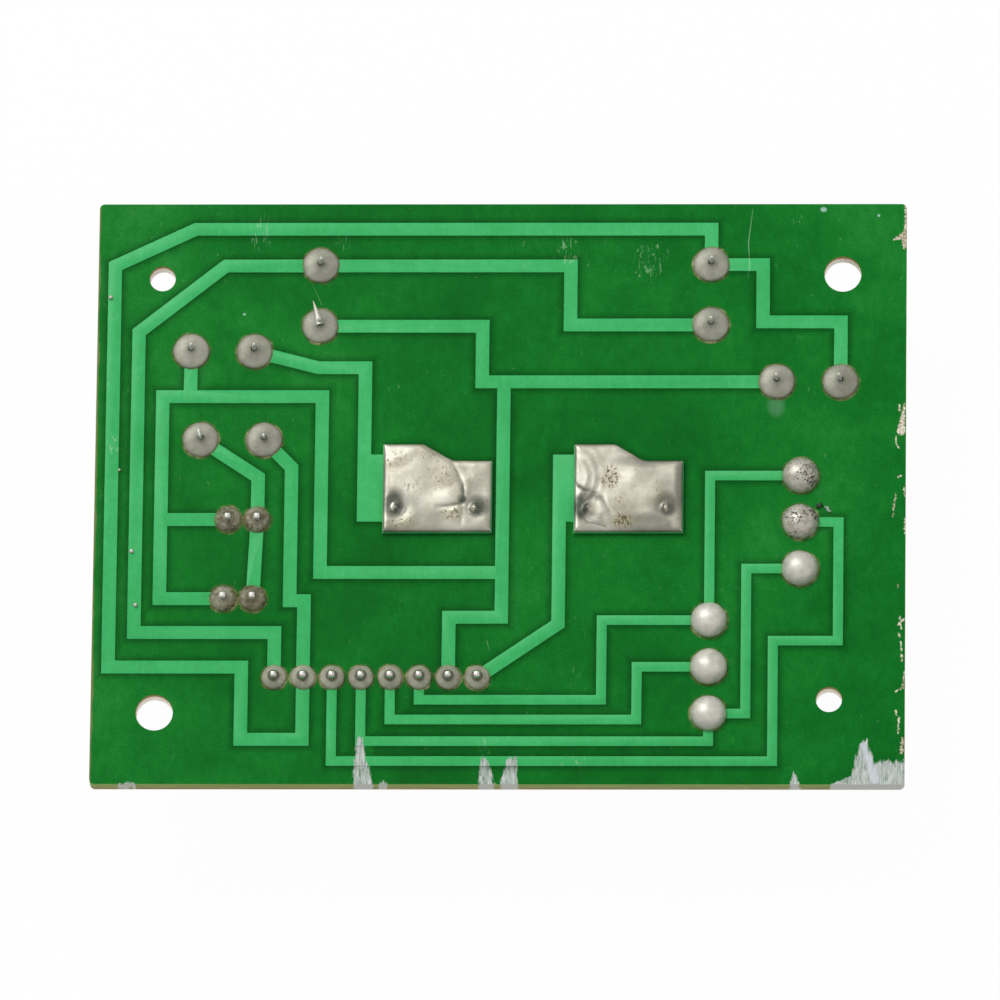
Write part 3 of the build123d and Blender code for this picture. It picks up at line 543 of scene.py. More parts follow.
def banded_lacquer():
    """Resistor lacquer with plain colour bands round it."""
    finish = Finish("resistor_lacquer")
    cloud = finish.grain(0.6, 4.0, 0.55)
    colour = finish.ramp(cloud, [(0.3, (188, 158, 112)), (0.7, (214, 190, 146))])
    half_band = 0.36
    bands = [(-2.0, (150, 84, 30)), (-3.5, (20, 20, 20)), (-4.6, (176, 40, 30)), (-6.8, (168, 132, 52))]
    for middle, tint in bands:
        stripe = ((half_band - abs(finish.z - middle)) * 20.0).clip()
        colour = finish.mix(stripe, colour, tint)
    rough = 0.3 + (cloud - 0.5) * 0.2
    return finish.shade(Base_Color=colour, Roughness=rough, Normal=finish.bump(cloud, 0.05, 0.4))


def can_sleeve():
    """Dark shrink sleeve with one pale stripe down it, over a bare metal end scored as a vent."""
    finish = Finish("can_sleeve")
    cloud = finish.grain(0.4, 3.0, 0.55)
    film = finish.ramp(cloud, [(0.3, (16, 22, 40)), (0.7, (30, 38, 62))])
    across = finish.x - can_middle[0]
    along = finish.y - can_middle[1]
    half_stripe = 1.5
    end_radius = 4.02
    half_score = 0.13
    score_reach = 3.0
    stripe = ((half_stripe - abs(across)) * 12.0).clip() * (0.0 - along).clip()
    film = finish.mix(stripe, film, (150, 156, 166))
    radius = (across * across + along * along) ** 0.5
    end = ((FLOOR + 0.4 - finish.z) * 20.0).clip() * ((end_radius - radius) * 14.0).clip()
    cross = ((half_score - abs(across).least(abs(along))) * 14.0).clip()
    score = cross * ((score_reach - radius) * 8.0).clip() * end
    bare_metal = finish.ramp(cloud, [(0.3, (166, 168, 170)), (0.7, (194, 196, 198))])
    colour = finish.mix(end, film, bare_metal)
    colour = finish.mix(score * 0.6, colour, (70, 72, 74))
    rough = 0.3 + (cloud - 0.5) * 0.15
    normal = finish.bump(cloud - score, 0.1, 0.4)
    return finish.shade(Base_Color=colour, Roughness=rough, Metallic=end, Normal=normal)


def clear(name, tint, roughness, clearness):
    """Clear resin or glass with a faint haze."""
    finish = Finish(name)
    haze = finish.grain(0.8, 3.0, 0.6)
    colour = finish.mix(((haze - 0.45) * 2.0).clip() * 0.2, tint, (236, 236, 232))
    rough = roughness + (haze - 0.5) * 0.05
    return finish.shade(Base_Color=colour, Roughness=rough, Transmission_Weight=clearness, IOR=1.5)


board_lacquer = lacquered_board("board_lacquer")
lower_edge_lacquer = lacquered_board("lower_edge_lacquer", True)
right_edge_lacquer = lacquered_board("right_edge_lacquer", True, True)
laminate = bare_laminate()
track_lacquer = lacquered_track("track_lacquer")
scraped_track_lacquer = lacquered_track("scraped_track_lacquer", True)
track_shade_finish = lacquer_foot()
joint_solder = solder("joint_solder", (140, 140, 124), (176, 175, 160), 0.48, 0.35)
header_solder = solder("header_solder", (160, 161, 140), (192, 191, 172), 0.42, 0.3, 0.2, 0.2, 0.75)
lamp_solder = solder("lamp_solder", (132, 128, 104), (184, 180, 158), 0.38, 0.35, 0.6, 0.8, 0.3)
dome_solder = solder("dome_solder", (180, 179, 165), (224, 221, 210), 0.46, 0.42)
sooty_solder = solder("sooty_solder", (182, 179, 164), (222, 218, 206), 0.46, 0.42, 0.95, 0.4)
wire_tin = tinned("wire_tin", (186, 185, 176), (228, 227, 220), 0.34, 0.3)
pin_tin = tinned("pin_tin", (206, 204, 194), (244, 242, 234), 0.28)
clip_tin = tinned("clip_tin", (168, 166, 154), (214, 210, 198), 0.32)
cap_nickel = tinned("cap_nickel", (186, 186, 184), (226, 226, 224), 0.18)
nylon = resin("natural_nylon", (214, 208, 186), (234, 229, 212), 0.45, 4.0, 0.03)
film_resin = resin("film_box_resin", (158, 38, 26), (186, 56, 40), 0.35)
disc_resin = resin("disc_coating", (28, 66, 140), (48, 92, 170), 0.34, 3.0, 0.03)
rubber = resin("bung_rubber", (24, 24, 24), (44, 44, 44), 0.75, 5.0, 0.04)
soot = resin("burnt_flake", (20, 34, 20), (52, 78, 50), 0.35, 3.0, 0.1)
curl_resin = resin("flux_curl", (96, 132, 104), (186, 200, 180), 0.35, 3.0, 0.1)
flux = flux_resin()
resistor_lacquer = banded_lacquer()
sleeve = can_sleeve()
lens_resin = clear("lens_resin", (214, 40, 30), 0.05, 0.75)
fuse_glass = clear("fuse_glass", (240, 248, 246), 0.02, 1.0)


# Pieces
def smooth(shape, wanted=True):
    """Shade all faces smooth, or all flat."""
    for face in shape.faces:
        face.smooth = wanted


def cut(shape, place, way, clear_far=False):
    """Cut faces along a plane; what lies on its far side can be cleared away."""
    everything = shape.verts[:] + shape.edges[:] + shape.faces[:]
    bmesh.ops.bisect_plane(shape, geom=everything, plane_co=place, plane_no=way, clear_outer=clear_far)


def fill_openings(shape):
    """Close each open rim with a face."""
    rims = [edge for edge in shape.edges if edge.is_boundary]
    bmesh.ops.holes_fill(shape, edges=rims, sides=0)


def merged_copy(name):
    """Copy of a CAD node in millimetres, with its triangles merged into flat faces."""
    shape = bmesh.new()
    shape.from_mesh(nodes[name].data)
    bmesh.ops.scale(shape, vec=(1 / MM, 1 / MM, 1 / MM), verts=shape.verts)
    bmesh.ops.remove_doubles(shape, verts=shape.verts, dist=0.0008)
    flat = math.radians(1.5)
    bmesh.ops.dissolve_limit(shape, angle_limit=flat, verts=shape.verts, edges=shape.edges)
    smooth(shape, False)
    return shape


def bevel(shape, edges, width, segments):
    """Round some edges; only the new faces are smooth."""
    settings = {"affect": "EDGES", "profile": 0.5, "material": -1, "clamp_overlap": True}
    made = bmesh.ops.bevel(shape, geom=edges, offset=width, segments=segments, **settings)
    for face in made["faces"]:
        face.smooth = True


def turned(shape, spot, profile, steps, material=0):
    """Spin a profile of radius and height about an upright axis at a spot; gives its points."""
    first_face = len(shape.faces)
    first_point = len(shape.verts)
    points = [shape.verts.new((spot[0] + radius, spot[1], height)) for radius, height in profile]
    runs = [shape.edges.new(ends) for ends in zip(points, points[1:])]
    axis = {"cent": (*spot, 0), "axis": (0, 0, 1)}
    bmesh.ops.spin(shape, geom=points + runs, angle=math.tau, steps=steps, use_merge=True, **axis)
    shape.faces.ensure_lookup_table()
    shape.verts.ensure_lookup_table()
    for face in shape.faces[first_face:]:
        face.material_index = material
        face.smooth = True
    return shape.verts[first_point:]


def wobble(shape, reach, size, lift=0.0):
    """Move points by smooth noise, so that no two castings are alike."""
    for point in shape.verts:
        sway = noise.noise_vector(point.co / size)
        point.co.x += sway.x * reach
        point.co.y += sway.y * reach
        point.co.z += sway.z * lift


def close(shape):
    """Merge doubled points and turn all faces outwards."""
    bmesh.ops.remove_doubles(shape, verts=shape.verts, dist=0.0005)
    bmesh.ops.recalc_face_normals(shape, faces=shape.faces)


def piece(shape, name, finishes, slot, *replaced, crease=60):
    """Make an object of a shape, at the origin, with sharp edges where its faces turn most."""
    bmesh.ops.scale(shape, vec=(MM, MM, MM), verts=shape.verts)
    mesh = bpy.data.meshes.new(name)
    shape.to_mesh(mesh)
    shape.free()
    for finish in finishes:
        mesh.materials.append(finish)
    mesh.set_sharp_from_angle(angle=math.radians(crease))
    made = bpy.data.objects.new(name, mesh)
    bpy.context.scene.collection.objects.link(made)
    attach(made, "root")
    if replaced:
        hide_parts(*replaced)


# Board and tracks
# The top is cut where its wear begins, so that each part of it has a finish of its own
shape = merged_copy("board")
cut(shape, (0, LOWER_WEAR, 0), (0, 1, 0))
cut(shape, (RIGHT_WEAR, 0, 0), (1, 0, 0))
board_finishes = [board_lacquer, lower_edge_lacquer, right_edge_lacquer, laminate]
for face in shape.faces:
    middle = face.calc_center_median()
    finish = board_lacquer
    if face.normal.z < 0.9:
        finish = laminate
    elif middle.x > RIGHT_WEAR:
        finish = right_edge_lacquer
    elif middle.y < LOWER_WEAR:
        finish = lower_edge_lacquer
    face.material_index = board_finishes.index(finish)
    face.smooth = abs(face.normal.z) < 0.5
piece(shape, "laminate_board", board_finishes, "board", "board", crease=30)


def lay_painted_shade(shade_wedges, track):
    """Add a wedge of painted shade along the foot of a track's straight runs, as wide as its reach."""
    corners = {}
    reach = 0.8
    foot = BOARD_TOP + 0.001
    head = FOIL_TOP - 0.008
    shortest_run = 1.2
    smallest_wall = shortest_run * (FOIL_TOP - BOARD_TOP)
    upright = [face for face in track.faces if abs(face.normal.z) < 0.5]
    runs = {face for face in upright if face.calc_area() > smallest_wall}
    for point in track.verts:
        walls = [face.normal.xy for face in point.link_faces if face in runs]
        if point.co.z > BOARD_TOP + 0.01 or not walls:
            continue
        way = (walls[0] + walls[-1]) / (1 + walls[0].dot(walls[-1]))
        inner = point.co.xy
        outer = inner + way * reach
        section = ((inner, head), (outer, foot), (inner, foot))
        corners[point] = [shade_wedges.verts.new((*place, height)) for place, height in section]
    for edge in track.edges:
        first, last = edge.verts
        if first in corners and last in corners and runs.intersection(edge.link_faces):
            for side in range(3):
                start, end = corners[first], corners[last]
                shade_wedges.faces.new((start[side], end[side], end[side - 2], start[side - 2]))


# Dark see-through wedges of painted shade along the foot of the tracks
shade_wedges = bmesh.new()
for name in [name for name in nodes if name.endswith("_track")]:
    shape = merged_copy(name)
    lay_painted_shade(shade_wedges, shape)
    rims = [
        edge
        for edge in shape.edges
        if edge.calc_face_angle(0) > 1.0 and min(point.co.z for point in edge.verts) > FOIL_TOP - 0.01
    ]
    bevel(shape, rims, 0.06, 2)
    cut(shape, (0, LOWER_WEAR, 0), (0, 1, 0))
    for face in shape.faces:
        face.material_index = int(face.calc_center_median().y < LOWER_WEAR)
    finishes = [track_lacquer, scraped_track_lacquer]
    piece(shape, name.replace("_track", "_foil"), finishes, "track", name)
bmesh.ops.recalc_face_normals(shade_wedges, faces=shade_wedges.faces)
piece(shade_wedges, "lacquer_feet", [track_shade_finish], "track")

# Solder joints, each with its ring of flux
# Each profile gives radius and height above the foil, from the foot up
lead_joint = [
    (1.56, 0.0), (1.54, 0.1), (1.44, 0.2), (1.2, 0.31), (0.86, 0.42), (0.54, 0.54), (0.36, 0.66),
    (0.26, 0.78)
]
pin_joint = [(1.09, 0.0), (1.07, 0.1), (0.96, 0.24), (0.76, 0.4), (0.56, 0.54), (0.46, 0.64), (0.3, 0.7)]
lamp_joint = [(1.16, 0.0), (1.14, 0.11), (1.02, 0.28), (0.8, 0.48), (0.56, 0.62), (0.4, 0.71), (0.26, 0.75)]
dome_joint = [
    (1.56, 0.0), (1.56, 0.16), (1.5, 0.38), (1.36, 0.62), (1.13, 0.84), (0.83, 1.02), (0.48, 1.14),
    (0.2, 1.19), (0.0, 1.2)
]


def joints(name, spots, profile, finishes, spread=0.2, sway=0.06):
    """Joints on their pads, a little uneven, each with a wedge of flux from its flank to the board."""
    kinds = sorted(set(finishes), key=lambda finish: finish.name)
    foot = profile[0][0]
    inner = foot - 0.04
    wedge = [(inner, 0.06), (foot + spread * 0.35, 0.0), (foot + spread, -0.068), (inner, -0.07)]
    casting = [(0.0, FOIL_TOP)] + [(out, FOIL_TOP + up) for out, up in profile]
    ring = [(out, FOIL_TOP + up) for out, up in wedge]
    shape = bmesh.new()
    for spot, finish in zip(spots, finishes):
        turned(shape, spot, casting, 36, kinds.index(finish))
    for spot in spots:
        turned(shape, spot, ring, 36, len(kinds))
    close(shape)
    wobble(shape, sway, 1.1)
    piece(shape, name + "_joints", kinds + [flux], "solder", name + "_solder")


for name, spots in two_leads.items():
    joints(name, spots, lead_joint, [joint_solder] * 2)
joints("main_header", main_pins, pin_joint, [header_solder] * 8, 0.18, 0.04)
for name, spots in lamps.items():
    joints(name, spots, lamp_joint, [lamp_solder] * 2, 0.24, 0.05)
joints("upper_header", upper_pins, dome_joint, [sooty_solder, sooty_solder, dome_solder], 0.22, 0.05)
joints("lower_header", lower_pins, dome_joint, [dome_solder] * 3, 0.22, 0.05)

# Solder that strayed: balls on the lacquer, an icicle, and a burnt flake beside a post
shape = bmesh.new()
balls = (((-31.71, -5.34), 0.2), ((-31.28, -10.21), 0.2), ((-33.92, 17.71), 0.2), ((-32.88, 2.03), 0.13))
for spot, size in balls:
    middle = Matrix.Translation((*spot, BOARD_TOP + size * 0.8))
    bmesh.ops.create_icosphere(shape, subdivisions=2, radius=size, matrix=middle)
start = Vector((-15.72, 15.0, FOIL_TOP + 0.72))
end = Vector((-16.3, 17.1, FOIL_TOP + 0.95))
along = end - start
lie = Matrix.Translation((start + end) / 2) @ along.to_track_quat("Z", "Y").to_matrix().to_4x4()
bmesh.ops.create_cone(
    shape, cap_ends=True, segments=14, radius1=0.42, radius2=0.03, depth=along.length, matrix=lie
)
smooth(shape)
piece(shape, "stray_solder", [dome_solder], "solder")
shape = bmesh.new()
flakes = (((27.6, -1.2), (0.36, 0.2, 0.16), 0.5), ((28.3, -1.5), (0.42, 0.15, 0.14), -0.8))
for spot, size, turn in flakes:
    place = Matrix.Translation((*spot, BOARD_TOP + 0.16)) @ Matrix.Rotation(turn, 4, "Z")
    place = place @ Matrix.Diagonal((*size, 1.0))
    bmesh.ops.create_icosphere(shape, subdivisions=3, radius=1.0, matrix=place)
wobble(shape, 0.14, 0.3, 0.05)
smooth(shape)
curl_start = 28.0
for face in shape.faces:
    face.material_index = int(face.calc_center_median().x > curl_start)
piece(shape, "burnt_flux_flake", [soot, curl_resin], "solder")

# Thick solder over the clips' pads
SLAB_X = 4.66
SLAB_Y = 3.91
slab_outline = [
    (-SLAB_X, -SLAB_Y), (SLAB_X, -SLAB_Y), (SLAB_X, 2.4), (1.3, 2.44), (-1.2, SLAB_Y), (-SLAB_X, SLAB_Y)
]
slab_legs = [Vector((-3.5, -1.85)), Vector((3.25, -1.85))]
# Swells have a middle, size and lift; folds a run, width and depth; flows a centre, spacing, lift, reach
# and spread
left_swells = [(-2.2, 1.4, 2.2, 0.12), (1.1, -0.8, 1.1, 0.16), (3.4, 0.9, 1.0, 0.06), (-0.6, -2.6, 1.3, 0.06)]
left_folds = [
    ([(1.2, 2.4), (1.6, 1.6), (1.85, 1.05), (2.26, 0.15), (2.31, -0.55), (2.15, -1.0)], 0.17, -0.06),
    ([(0.1, -1.8), (1.2, -1.72), (2.15, -1.45)], 0.14, -0.09),
    ([(2.15, -1.0), (2.15, -3.85)], 0.09, -0.05),
]
left_flow = ((-4.6, 5.4), 1.5, 0.012, 3.2, 1.4)
right_swells = [(-2.8, 2.2, 1.6, 0.08), (1.2, 0.4, 2.0, 0.1), (-2.7, -1.7, 0.9, 0.14), (0.6, -2.2, 1.2, 0.05)]
long_fold = [
    (-4.6, 0.6), (-4.24, 0.0), (-3.8, -0.2), (-3.26, -0.34), (-2.6, -0.7), (-2.17, -1.02), (-1.85, -1.8),
    (-1.2, -2.95)
]
right_folds = [
    (long_fold, 0.17, -0.07),
    ([(-4.0, -2.7), (-3.3, -3.1), (-2.7, -3.35), (-1.85, -3.5)], 0.15, -0.06),
]
right_flow = ((-5.6, 1.0), 0.7, 0.018, 2.4, 1.1)
# Each finish has painted shade in its hollows and creases, painted highlights, flux stains and the painted
# dark bands of its flow. A crease is a run of places with half widths, and a depth for each stretch
left_solder = slab_solder(
    "fuse_out_slab_solder",
    slab_middles["fuse_out"],
    [
        ((-3.75, -1.5), (0.95, 1.3), 0.9), ((-2.9, -2.2), (1.9, 1.6), 0.45),
        ((-4.0, -3.4), (0.9, 0.6), 0.55), ((3.5, -1.75), (0.9, 0.95), 0.9),
        ((2.15, -1.05), (0.4, 0.4), 1.0), ((2.62, 0.1), (0.4, 1.2), 0.25),
        ((3.5, -3.2), (1.4, 0.8), 0.3), ((0.1, -3.1), (2.4, 0.9), 0.28),
        ((-4.5, 0.6), (0.4, 2.6), 0.55),
    ],
    [
        ([(1.25, 2.3, 0.1), (2.2, 0.35, 0.26), (2.25, -0.9, 0.3)], [0.8, 0.9]),
        ([(0.3, -1.7, 0.12), (2.15, -1.4, 0.28)], [0.85]),
        ([(2.2, -1.2, 0.18), (2.17, -3.85, 0.12)], [0.6]),
        ([(-4.4, 0.8, 0.12), (-4.0, 2.4, 0.16)], [0.55]),
    ],
    [
        ((-3.8, -1.75), (0.15, 0.32), 0.8), ((3.13, -1.85), (0.2, 0.3), 0.8),
        ((1.1, -0.7), (0.9, 0.65), 0.8),
    ],
    [
        ((0.6, 1.2), (1.2, 1.4), 0.5), ((1.3, -2.4), (0.9, 0.6), 0.75),
        ((-1.9, 0.2), (1.0, 1.0), 0.4), ((-3.0, -3.2), (1.2, 0.5), 0.5),
        ((-3.6, 2.6), (1.2, 1.2), 0.4), ((-0.8, 3.3), (1.6, 0.8), 0.45),
    ],
    ((-4.6, 5.4), 1.5, 0.1, 3.2, 1.6),
)
long_crease = [
    (-4.6, 0.75, 0.26), (-4.35, 0.15, 0.36), (-3.8, -0.2, 0.36), (-3.0, -0.45, 0.32), (-2.3, -0.95, 0.3),
    (-1.9, -1.7, 0.26), (-1.1, -3.0, 0.2)
]
right_solder = slab_solder(
    "fuse_feed_slab_solder",
    slab_middles["fuse_feed"],
    [
        ((-4.1, -1.8), (0.72, 1.2), 1.0), ((-3.3, -0.9), (0.9, 0.55), 0.7),
        ((-3.1, -2.9), (1.5, 0.8), 0.5), ((3.35, -1.6), (1.0, 1.2), 0.8),
        ((4.4, 0.0), (0.45, 2.4), 0.6), ((1.6, -3.2), (3.2, 0.85), 0.6),
        ((1.2, 2.35), (2.4, 0.5), 0.42), ((-4.5, 1.8), (0.35, 2.0), 0.5),
        ((2.5, 0.6), (1.3, 1.0), 0.2),
    ],
    [
        (long_crease, [0.9, 0.85, 0.75, 0.7, 0.65, 0.55]),
        ([(-4.1, -2.6, 0.3), (-3.4, -3.15, 0.34), (-1.9, -3.5, 0.24)], [0.8, 0.8]),
    ],
    [
        ((-2.6, -1.75), (0.7, 0.5), 0.85), ((3.26, -1.8), (0.14, 0.36), 0.8),
        ((4.2, -3.3), (0.45, 0.4), 0.8), ((-1.6, -2.7), (0.5, 0.5), 0.6),
    ],
    [
        ((-1.6, 0.9), (0.75, 1.1), 0.95), ((-0.6, -3.0), (1.1, 0.65), 1.0),
        ((-0.7, -1.3), (0.8, 0.9), 0.5), ((2.6, -0.6), (0.9, 0.9), 0.4),
    ],
    ((-5.6, 1.0), 0.72, 0.42, 2.3, 1.5),
)


def run_distance(point, start, end):
    """Distance from a point to a straight run."""
    along = end - start
    share = max(0.0, min(1.0, (point - start).dot(along) / along.length_squared))
    return (point - start - along * share).length


RIM_HEIGHT = 0.42
SHOULDER_RISE = 0.12
SHOULDER_RUN = 0.15
INNER_RUN = 0.6
DENT_DEPTH = 0.05
DENT_RADIUS = 0.75
DENT_WIDTH = 0.45
LEG_RISE = 0.26
LEG_RADIUS = 0.26


def slab_height(place, swells, folds, flow):
    """Height of the solder over a pad: thin at its rim, swollen, folded, and lifted by the legs."""
    corners = [Vector(corner) for corner in slab_outline]
    rim = min(run_distance(place, start, end) for start, end in zip(corners, corners[1:] + corners[:1]))
    height = RIM_HEIGHT + SHOULDER_RISE * (1 - math.exp(-rim / SHOULDER_RUN))
    inner = 1 - math.exp(-rim / INNER_RUN)
    for across, up, size, lift in swells:
        away = (place - Vector((across, up))).length / size
        height += lift * 0.75 * math.exp(-away * away) * inner
    for leg in slab_legs:
        away = (place - leg).length
        height -= DENT_DEPTH * math.exp(-(((away - DENT_RADIUS) / DENT_WIDTH) ** 2)) * inner
        height += LEG_RISE * math.exp(-((away / LEG_RADIUS) ** 2))
    for run, width, depth in folds:
        points = [Vector(point) for point in run]
        near = min(run_distance(place, start, end) for start, end in zip(points, points[1:]))
        height += depth * math.exp(-((near / width) ** 2)) * inner
    centre, spacing, lift, reach, spread = flow
    away = (place - Vector(centre)).length
    fading = math.exp(-(((away - reach) / spread) ** 2))
    height += lift * math.cos(away / spacing * math.tau) * fading * inner
    ripple = noise.noise(Vector((place.x * 0.6, place.y * 0.6, 4.0)))
    return height + ripple * 0.04 * inner


def slab(name, finish, swells, folds, flow):
    """Solder sheet over one pad, cut into a fine net and raised point by point."""
    middle = slab_middles[name]
    shape = bmesh.new()
    shape.faces.new([shape.verts.new((across, up, 0)) for across, up in slab_outline])
    net = 0.16
    for axis, reach in ((Vector((1, 0, 0)), SLAB_X), (Vector((0, 1, 0)), SLAB_Y)):
        steps = int(reach * 2 / net)
        for step in range(1, steps):
            cut(shape, axis * (-reach + reach * 2 * step / steps), axis)
    rim = [edge for edge in shape.edges if edge.is_boundary]
    skirt = bmesh.ops.extrude_edge_only(shape, edges=rim)
    low = {entry for entry in skirt["geom"] if isinstance(entry, bmesh.types.BMVert)}
    for point in shape.verts:
        if point not in low:
            point.co.z = slab_height(point.co.xy, swells, folds, flow)
    wobble(shape, 0.03, 0.8)
    bmesh.ops.translate(shape, vec=(*middle, FOIL_TOP), verts=shape.verts)
    fill_openings(shape)
    close(shape)
    smooth(shape)
    piece(shape, name + "_lump", [finish], "solder", name + "_solder", crease=70)


slab("fuse_out", left_solder, left_swells, left_folds, left_flow)
slab("fuse_feed", right_solder, right_swells, right_folds, right_flow)


# Leads and pins
def stand_wires(shape, spots, bottom):
    """Round leads whose clipped ends lean a little and are worn round."""
    radius = 0.2
    top = 1.5
    tip = FOIL_TOP + top
    stem = [(0.0, bottom), (radius * 1.2, bottom), (radius * 1.2, FOIL_TOP + 0.3)]
    neck = [(radius * 1.1, FOIL_TOP + 0.7), (radius, tip - 0.3)]
    profile = stem + neck + [(radius * 0.78, tip - 0.08), (radius * 0.35, tip - 0.01), (0.0, tip)]
    for spot in spots:
        sway = noise.noise(Vector((spot[0] * 0.37, spot[1] * 0.41, 0.5))) * 0.3
        for point in turned(shape, spot, profile, 16):
            lean = max(0.0, point.co.z - FOIL_TOP - 0.3) / (top - 0.3)
            point.co.x += sway * lean
            point.co.y += 0.24 * lean


wire_feet = {
    "right_film_capacitor": -1.55, "left_film_capacitor": -1.55, "electrolytic": -1.4, "suppressor": -3.9
}
for name, bottom in wire_feet.items():
    shape = bmesh.new()
    stand_wires(shape, two_leads[name], bottom)
    close(shape)
    piece(shape, name + "_wires", [wire_tin], "tinned_wire", name + "_leads")
# The resistor's bent leads stay as they are below, and get round ends above
shape = merged_copy("feed_resistor_leads")
cut(shape, (0, 0, 0.5), (0, 0, 1), clear_far=True)
fill_openings(shape)
smooth(shape)
stand_wires(shape, two_leads["feed_resistor"], 0.4)
close(shape)
piece(shape, "feed_resistor_wires", [wire_tin], "tinned_wire", "feed_resistor_leads", crease=50)


def rounded(name, new_name, finish, slot, width, segments=2, limit=40):
    """Copy of a CAD node whose edges are round where they turn by more than the limit, in degrees."""
    shape = merged_copy(name)
    turning = [edge for edge in shape.edges if edge.calc_face_angle(0) > math.radians(limit)]
    bevel(shape, turning, width, segments)
    piece(shape, new_name, [finish], slot, name)


headers = ("main_header", "upper_header", "lower_header")
for name in headers:
    rounded(name + "_pins", name + "_posts", pin_tin, "pin", 0.2 if name.startswith("main") else 0.24)
for name in lamps:
    rounded(name + "_leads", name + "_frame", wire_tin, "tinned_wire", 0.1)

# Component side
for name in headers:
    rounded(name + "_housing", name + "_shell", nylon, "housing", 0.12)
for name in ("fuse_out_clip", "fuse_feed_clip"):
    rounded(name, name + "_spring", clip_tin, "clip", 0.06, limit=60)
for name in ("right_film_capacitor_box", "left_film_capacitor_box"):
    rounded(name, name + "_moulding", film_resin, "film_box", 0.18, 3)


def lamp(name, spots):
    """Round-nosed lens with a flange that is flat on one side."""
    middle = ((spots[0][0] + spots[1][0]) / 2, spots[0][1])
    radius = 2.5
    flange_radius = 2.9
    top = -3.4
    flange_foot = -4.4
    nose_start = -9.5
    turns = [math.radians(5 + 85 * step / 10) for step in range(11)]
    nose = [(radius * math.cos(turn), nose_start - radius * math.sin(turn)) for turn in turns]
    flange = [
        (radius, top), (flange_radius - 0.06, top), (flange_radius, top - 0.06),
        (flange_radius, flange_foot + 0.06), (flange_radius - 0.06, flange_foot), (radius, flange_foot),
        (radius, top)
    ]
    shape = bmesh.new()
    turned(shape, middle, flange, 48)
    cut(shape, (middle[0] - radius - 0.05, 0, 0), (-1, 0, 0), clear_far=True)
    fill_openings(shape)
    turned(shape, middle, [(0.0, top), (radius - 0.01, top), (radius, nose_start)] + nose, 48)
    close(shape)
    piece(shape, name + "_bulb", [lens_resin], "lens", name + "_lens", crease=40)


for name, spots in lamps.items():
    lamp(name, spots)

shape = bmesh.new()
half = [(0.45, -1.2), (1.02, -1.3), (1.22, -1.55), (1.25, -1.8), (1.25, -2.5), (1.2, -2.75), (1.08, -3.05)]
body = [(0.0, -1.2)] + half + [(out, -8.8 - down) for out, down in reversed(half)] + [(0.0, -7.6)]
turned(shape, two_leads["feed_resistor"][0], body, 32)
close(shape)
piece(shape, "feed_resistor_barrel", [resistor_lacquer], "resistor", "feed_resistor_body")

shape = bmesh.new()
crimped = [
    (0.0, -1.45), (4.3, -1.45), (4.3, -0.1), (4.4, 0.0), (4.85, 0.0), (5.0, -0.15), (5.0, -1.55),
    (4.9, -1.78), (4.6, -1.98), (4.5, -2.2), (4.6, -2.42), (4.9, -2.62), (5.0, -2.85), (5.0, -11.4),
    (4.93, -11.7), (4.75, -11.92), (4.5, FLOOR), (4.1, FLOOR), (4.05, -11.9), (0.0, -11.9)
]
turned(shape, can_middle, crimped, 64)
close(shape)
piece(shape, "electrolytic_sleeve", [sleeve], "can", "electrolytic_can", crease=50)

shape = bmesh.new()
rim = [(3.2, 1.7), (3.9, 1.56), (4.35, 1.1), (4.5, 0.45)]
disc_section = [(0.0, 1.7)] + rim + [(out, -up) for out, up in reversed(rim)] + [(0.0, -1.7)]
turned(shape, (0, 0), disc_section, 56)
bmesh.ops.rotate(shape, verts=shape.verts, cent=(0, 0, 0), matrix=Matrix.Rotation(math.pi / 2, 3, "X"))
suppressor = two_leads["suppressor"]
middle = (sum(spot[0] for spot in suppressor) / 2, suppressor[0][1])
bmesh.ops.translate(shape, verts=shape.verts, vec=(*middle, -5.5))
shoulder = [(0.0, -1.0), (0.36, -1.0), (0.5, -1.5), (0.8, -2.1), (1.1, -2.7), (0.0, -2.9)]
for spot in suppressor:
    turned(shape, spot, shoulder, 20)
close(shape)
piece(shape, "suppressor_coating", [disc_resin], "disc", "suppressor_disc", crease=50)

# CAD nodes that stay as they are get a finish
bare_nodes = {
    "electrolytic_bung": rubber, "fuse_tube": fuse_glass, "fuse_wire": wire_tin,
    "fuse_out_cap": cap_nickel, "fuse_feed_cap": cap_nickel
}
for name, finish in bare_nodes.items():
    materials = nodes[name].data.materials
    materials.clear()
    materials.append(finish)


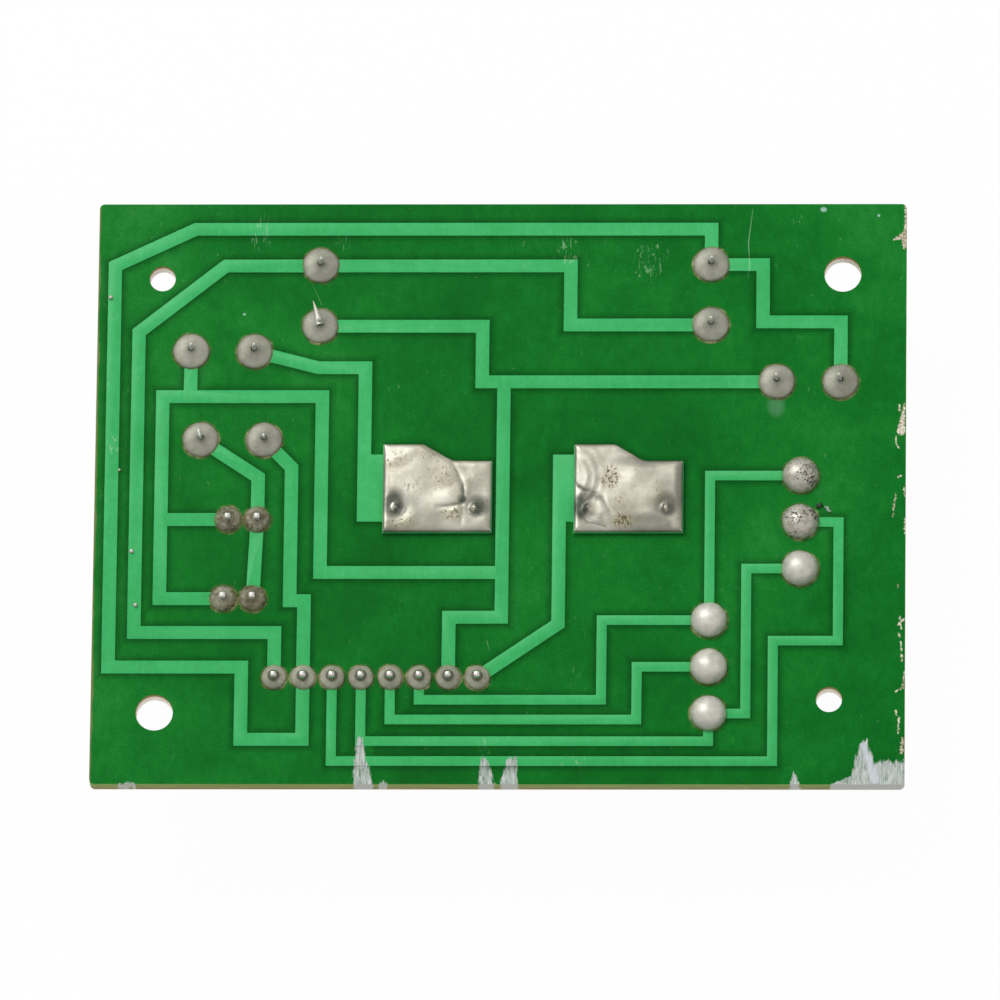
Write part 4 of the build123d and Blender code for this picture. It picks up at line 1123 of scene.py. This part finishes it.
# Floor, light and camera
def studio_floor():
    """White floor that keeps the shadow of the part and is open to view from below."""
    finish = Finish("studio_floor")
    rays = ("Is Camera Ray", "Is Glossy Ray", "Is Transmission Ray")
    straight = strongest(finish.outputs("LightPath", rays))
    paper = finish.node("BsdfDiffuse", {}, {"Color": (0.92, 0.92, 0.92, 1.0)})
    glow = finish.node("Emission", {}, {"Color": (1.0, 1.0, 1.0, 1.0), "Strength": 1.0})
    both = finish.node("MixShader", {}, {0: straight * 0.77 + 0.2, 1: paper, 2: glow})
    below = finish.node("NewGeometry", output="Backfacing")
    nothing = finish.node("BsdfTransparent")
    sheet = finish.node("MixShader", {}, {0: below, 1: both, 2: nothing})
    finish.node("OutputMaterial", {}, {"Surface": sheet}, output=None)
    return finish.material


shape = bmesh.new()
bmesh.ops.create_grid(shape, x_segments=1, y_segments=1, size=1.5)
bmesh.ops.translate(shape, vec=(0, 0, FLOOR * MM), verts=shape.verts)
mesh = bpy.data.meshes.new("floor")
shape.to_mesh(mesh)
shape.free()
mesh.materials.append(studio_floor())
floor = bpy.data.objects.new("floor", mesh)
bpy.context.scene.collection.objects.link(floor)

world = bpy.data.worlds.new("studio")
bpy.context.scene.world = world
world.use_nodes = True
studio = Nodes(world.node_tree)
way = studio.node("TexCoord", output="Generated")
across, along, height = studio.outputs("SeparateXYZ", "XYZ", {"Vector": way})
sky = (height * 1.1).clip() * 0.42 + 0.26 - across * 0.12 + along * 0.14
seen = strongest(studio.outputs("LightPath", ("Is Camera Ray", "Is Transmission Ray")))
light = {"Color": (1.0, 1.0, 1.0, 1.0), "Strength": sky * (1 - seen) + seen}
background = studio.node("Background", {}, light)
studio.node("OutputWorld", {}, {"Surface": background}, output=None)


def softbox(name, place, size, power):
    """Square lamp that faces the board."""
    light = bpy.data.lights.new(name, "AREA")
    light.size = size
    light.energy = power
    made = bpy.data.objects.new(name, light)
    made.location = place
    made.rotation_euler = (-Vector(place)).to_track_quat("-Z", "Y").to_euler()
    bpy.context.scene.collection.objects.link(made)


softbox("key_light", (-0.35, 0.45, 0.75), 0.35, 4.4)
softbox("fill_light", (0.6, -0.25, 0.6), 0.5, 0.7)

lens = bpy.data.cameras.new("camera")
lens.sensor_width = 36.0
lens.lens = 626.33
lens.clip_start = 0.05
lens.clip_end = 10.0
camera = bpy.data.objects.new("camera", lens)
camera.location = (0.055306, -0.455134, 1.430435)
camera.rotation_euler = (0.30815, 0.0351015, 0.0112086)
bpy.context.scene.collection.objects.link(camera)
bpy.context.scene.camera = camera
bpy.context.scene.view_settings.view_transform = "Standard"
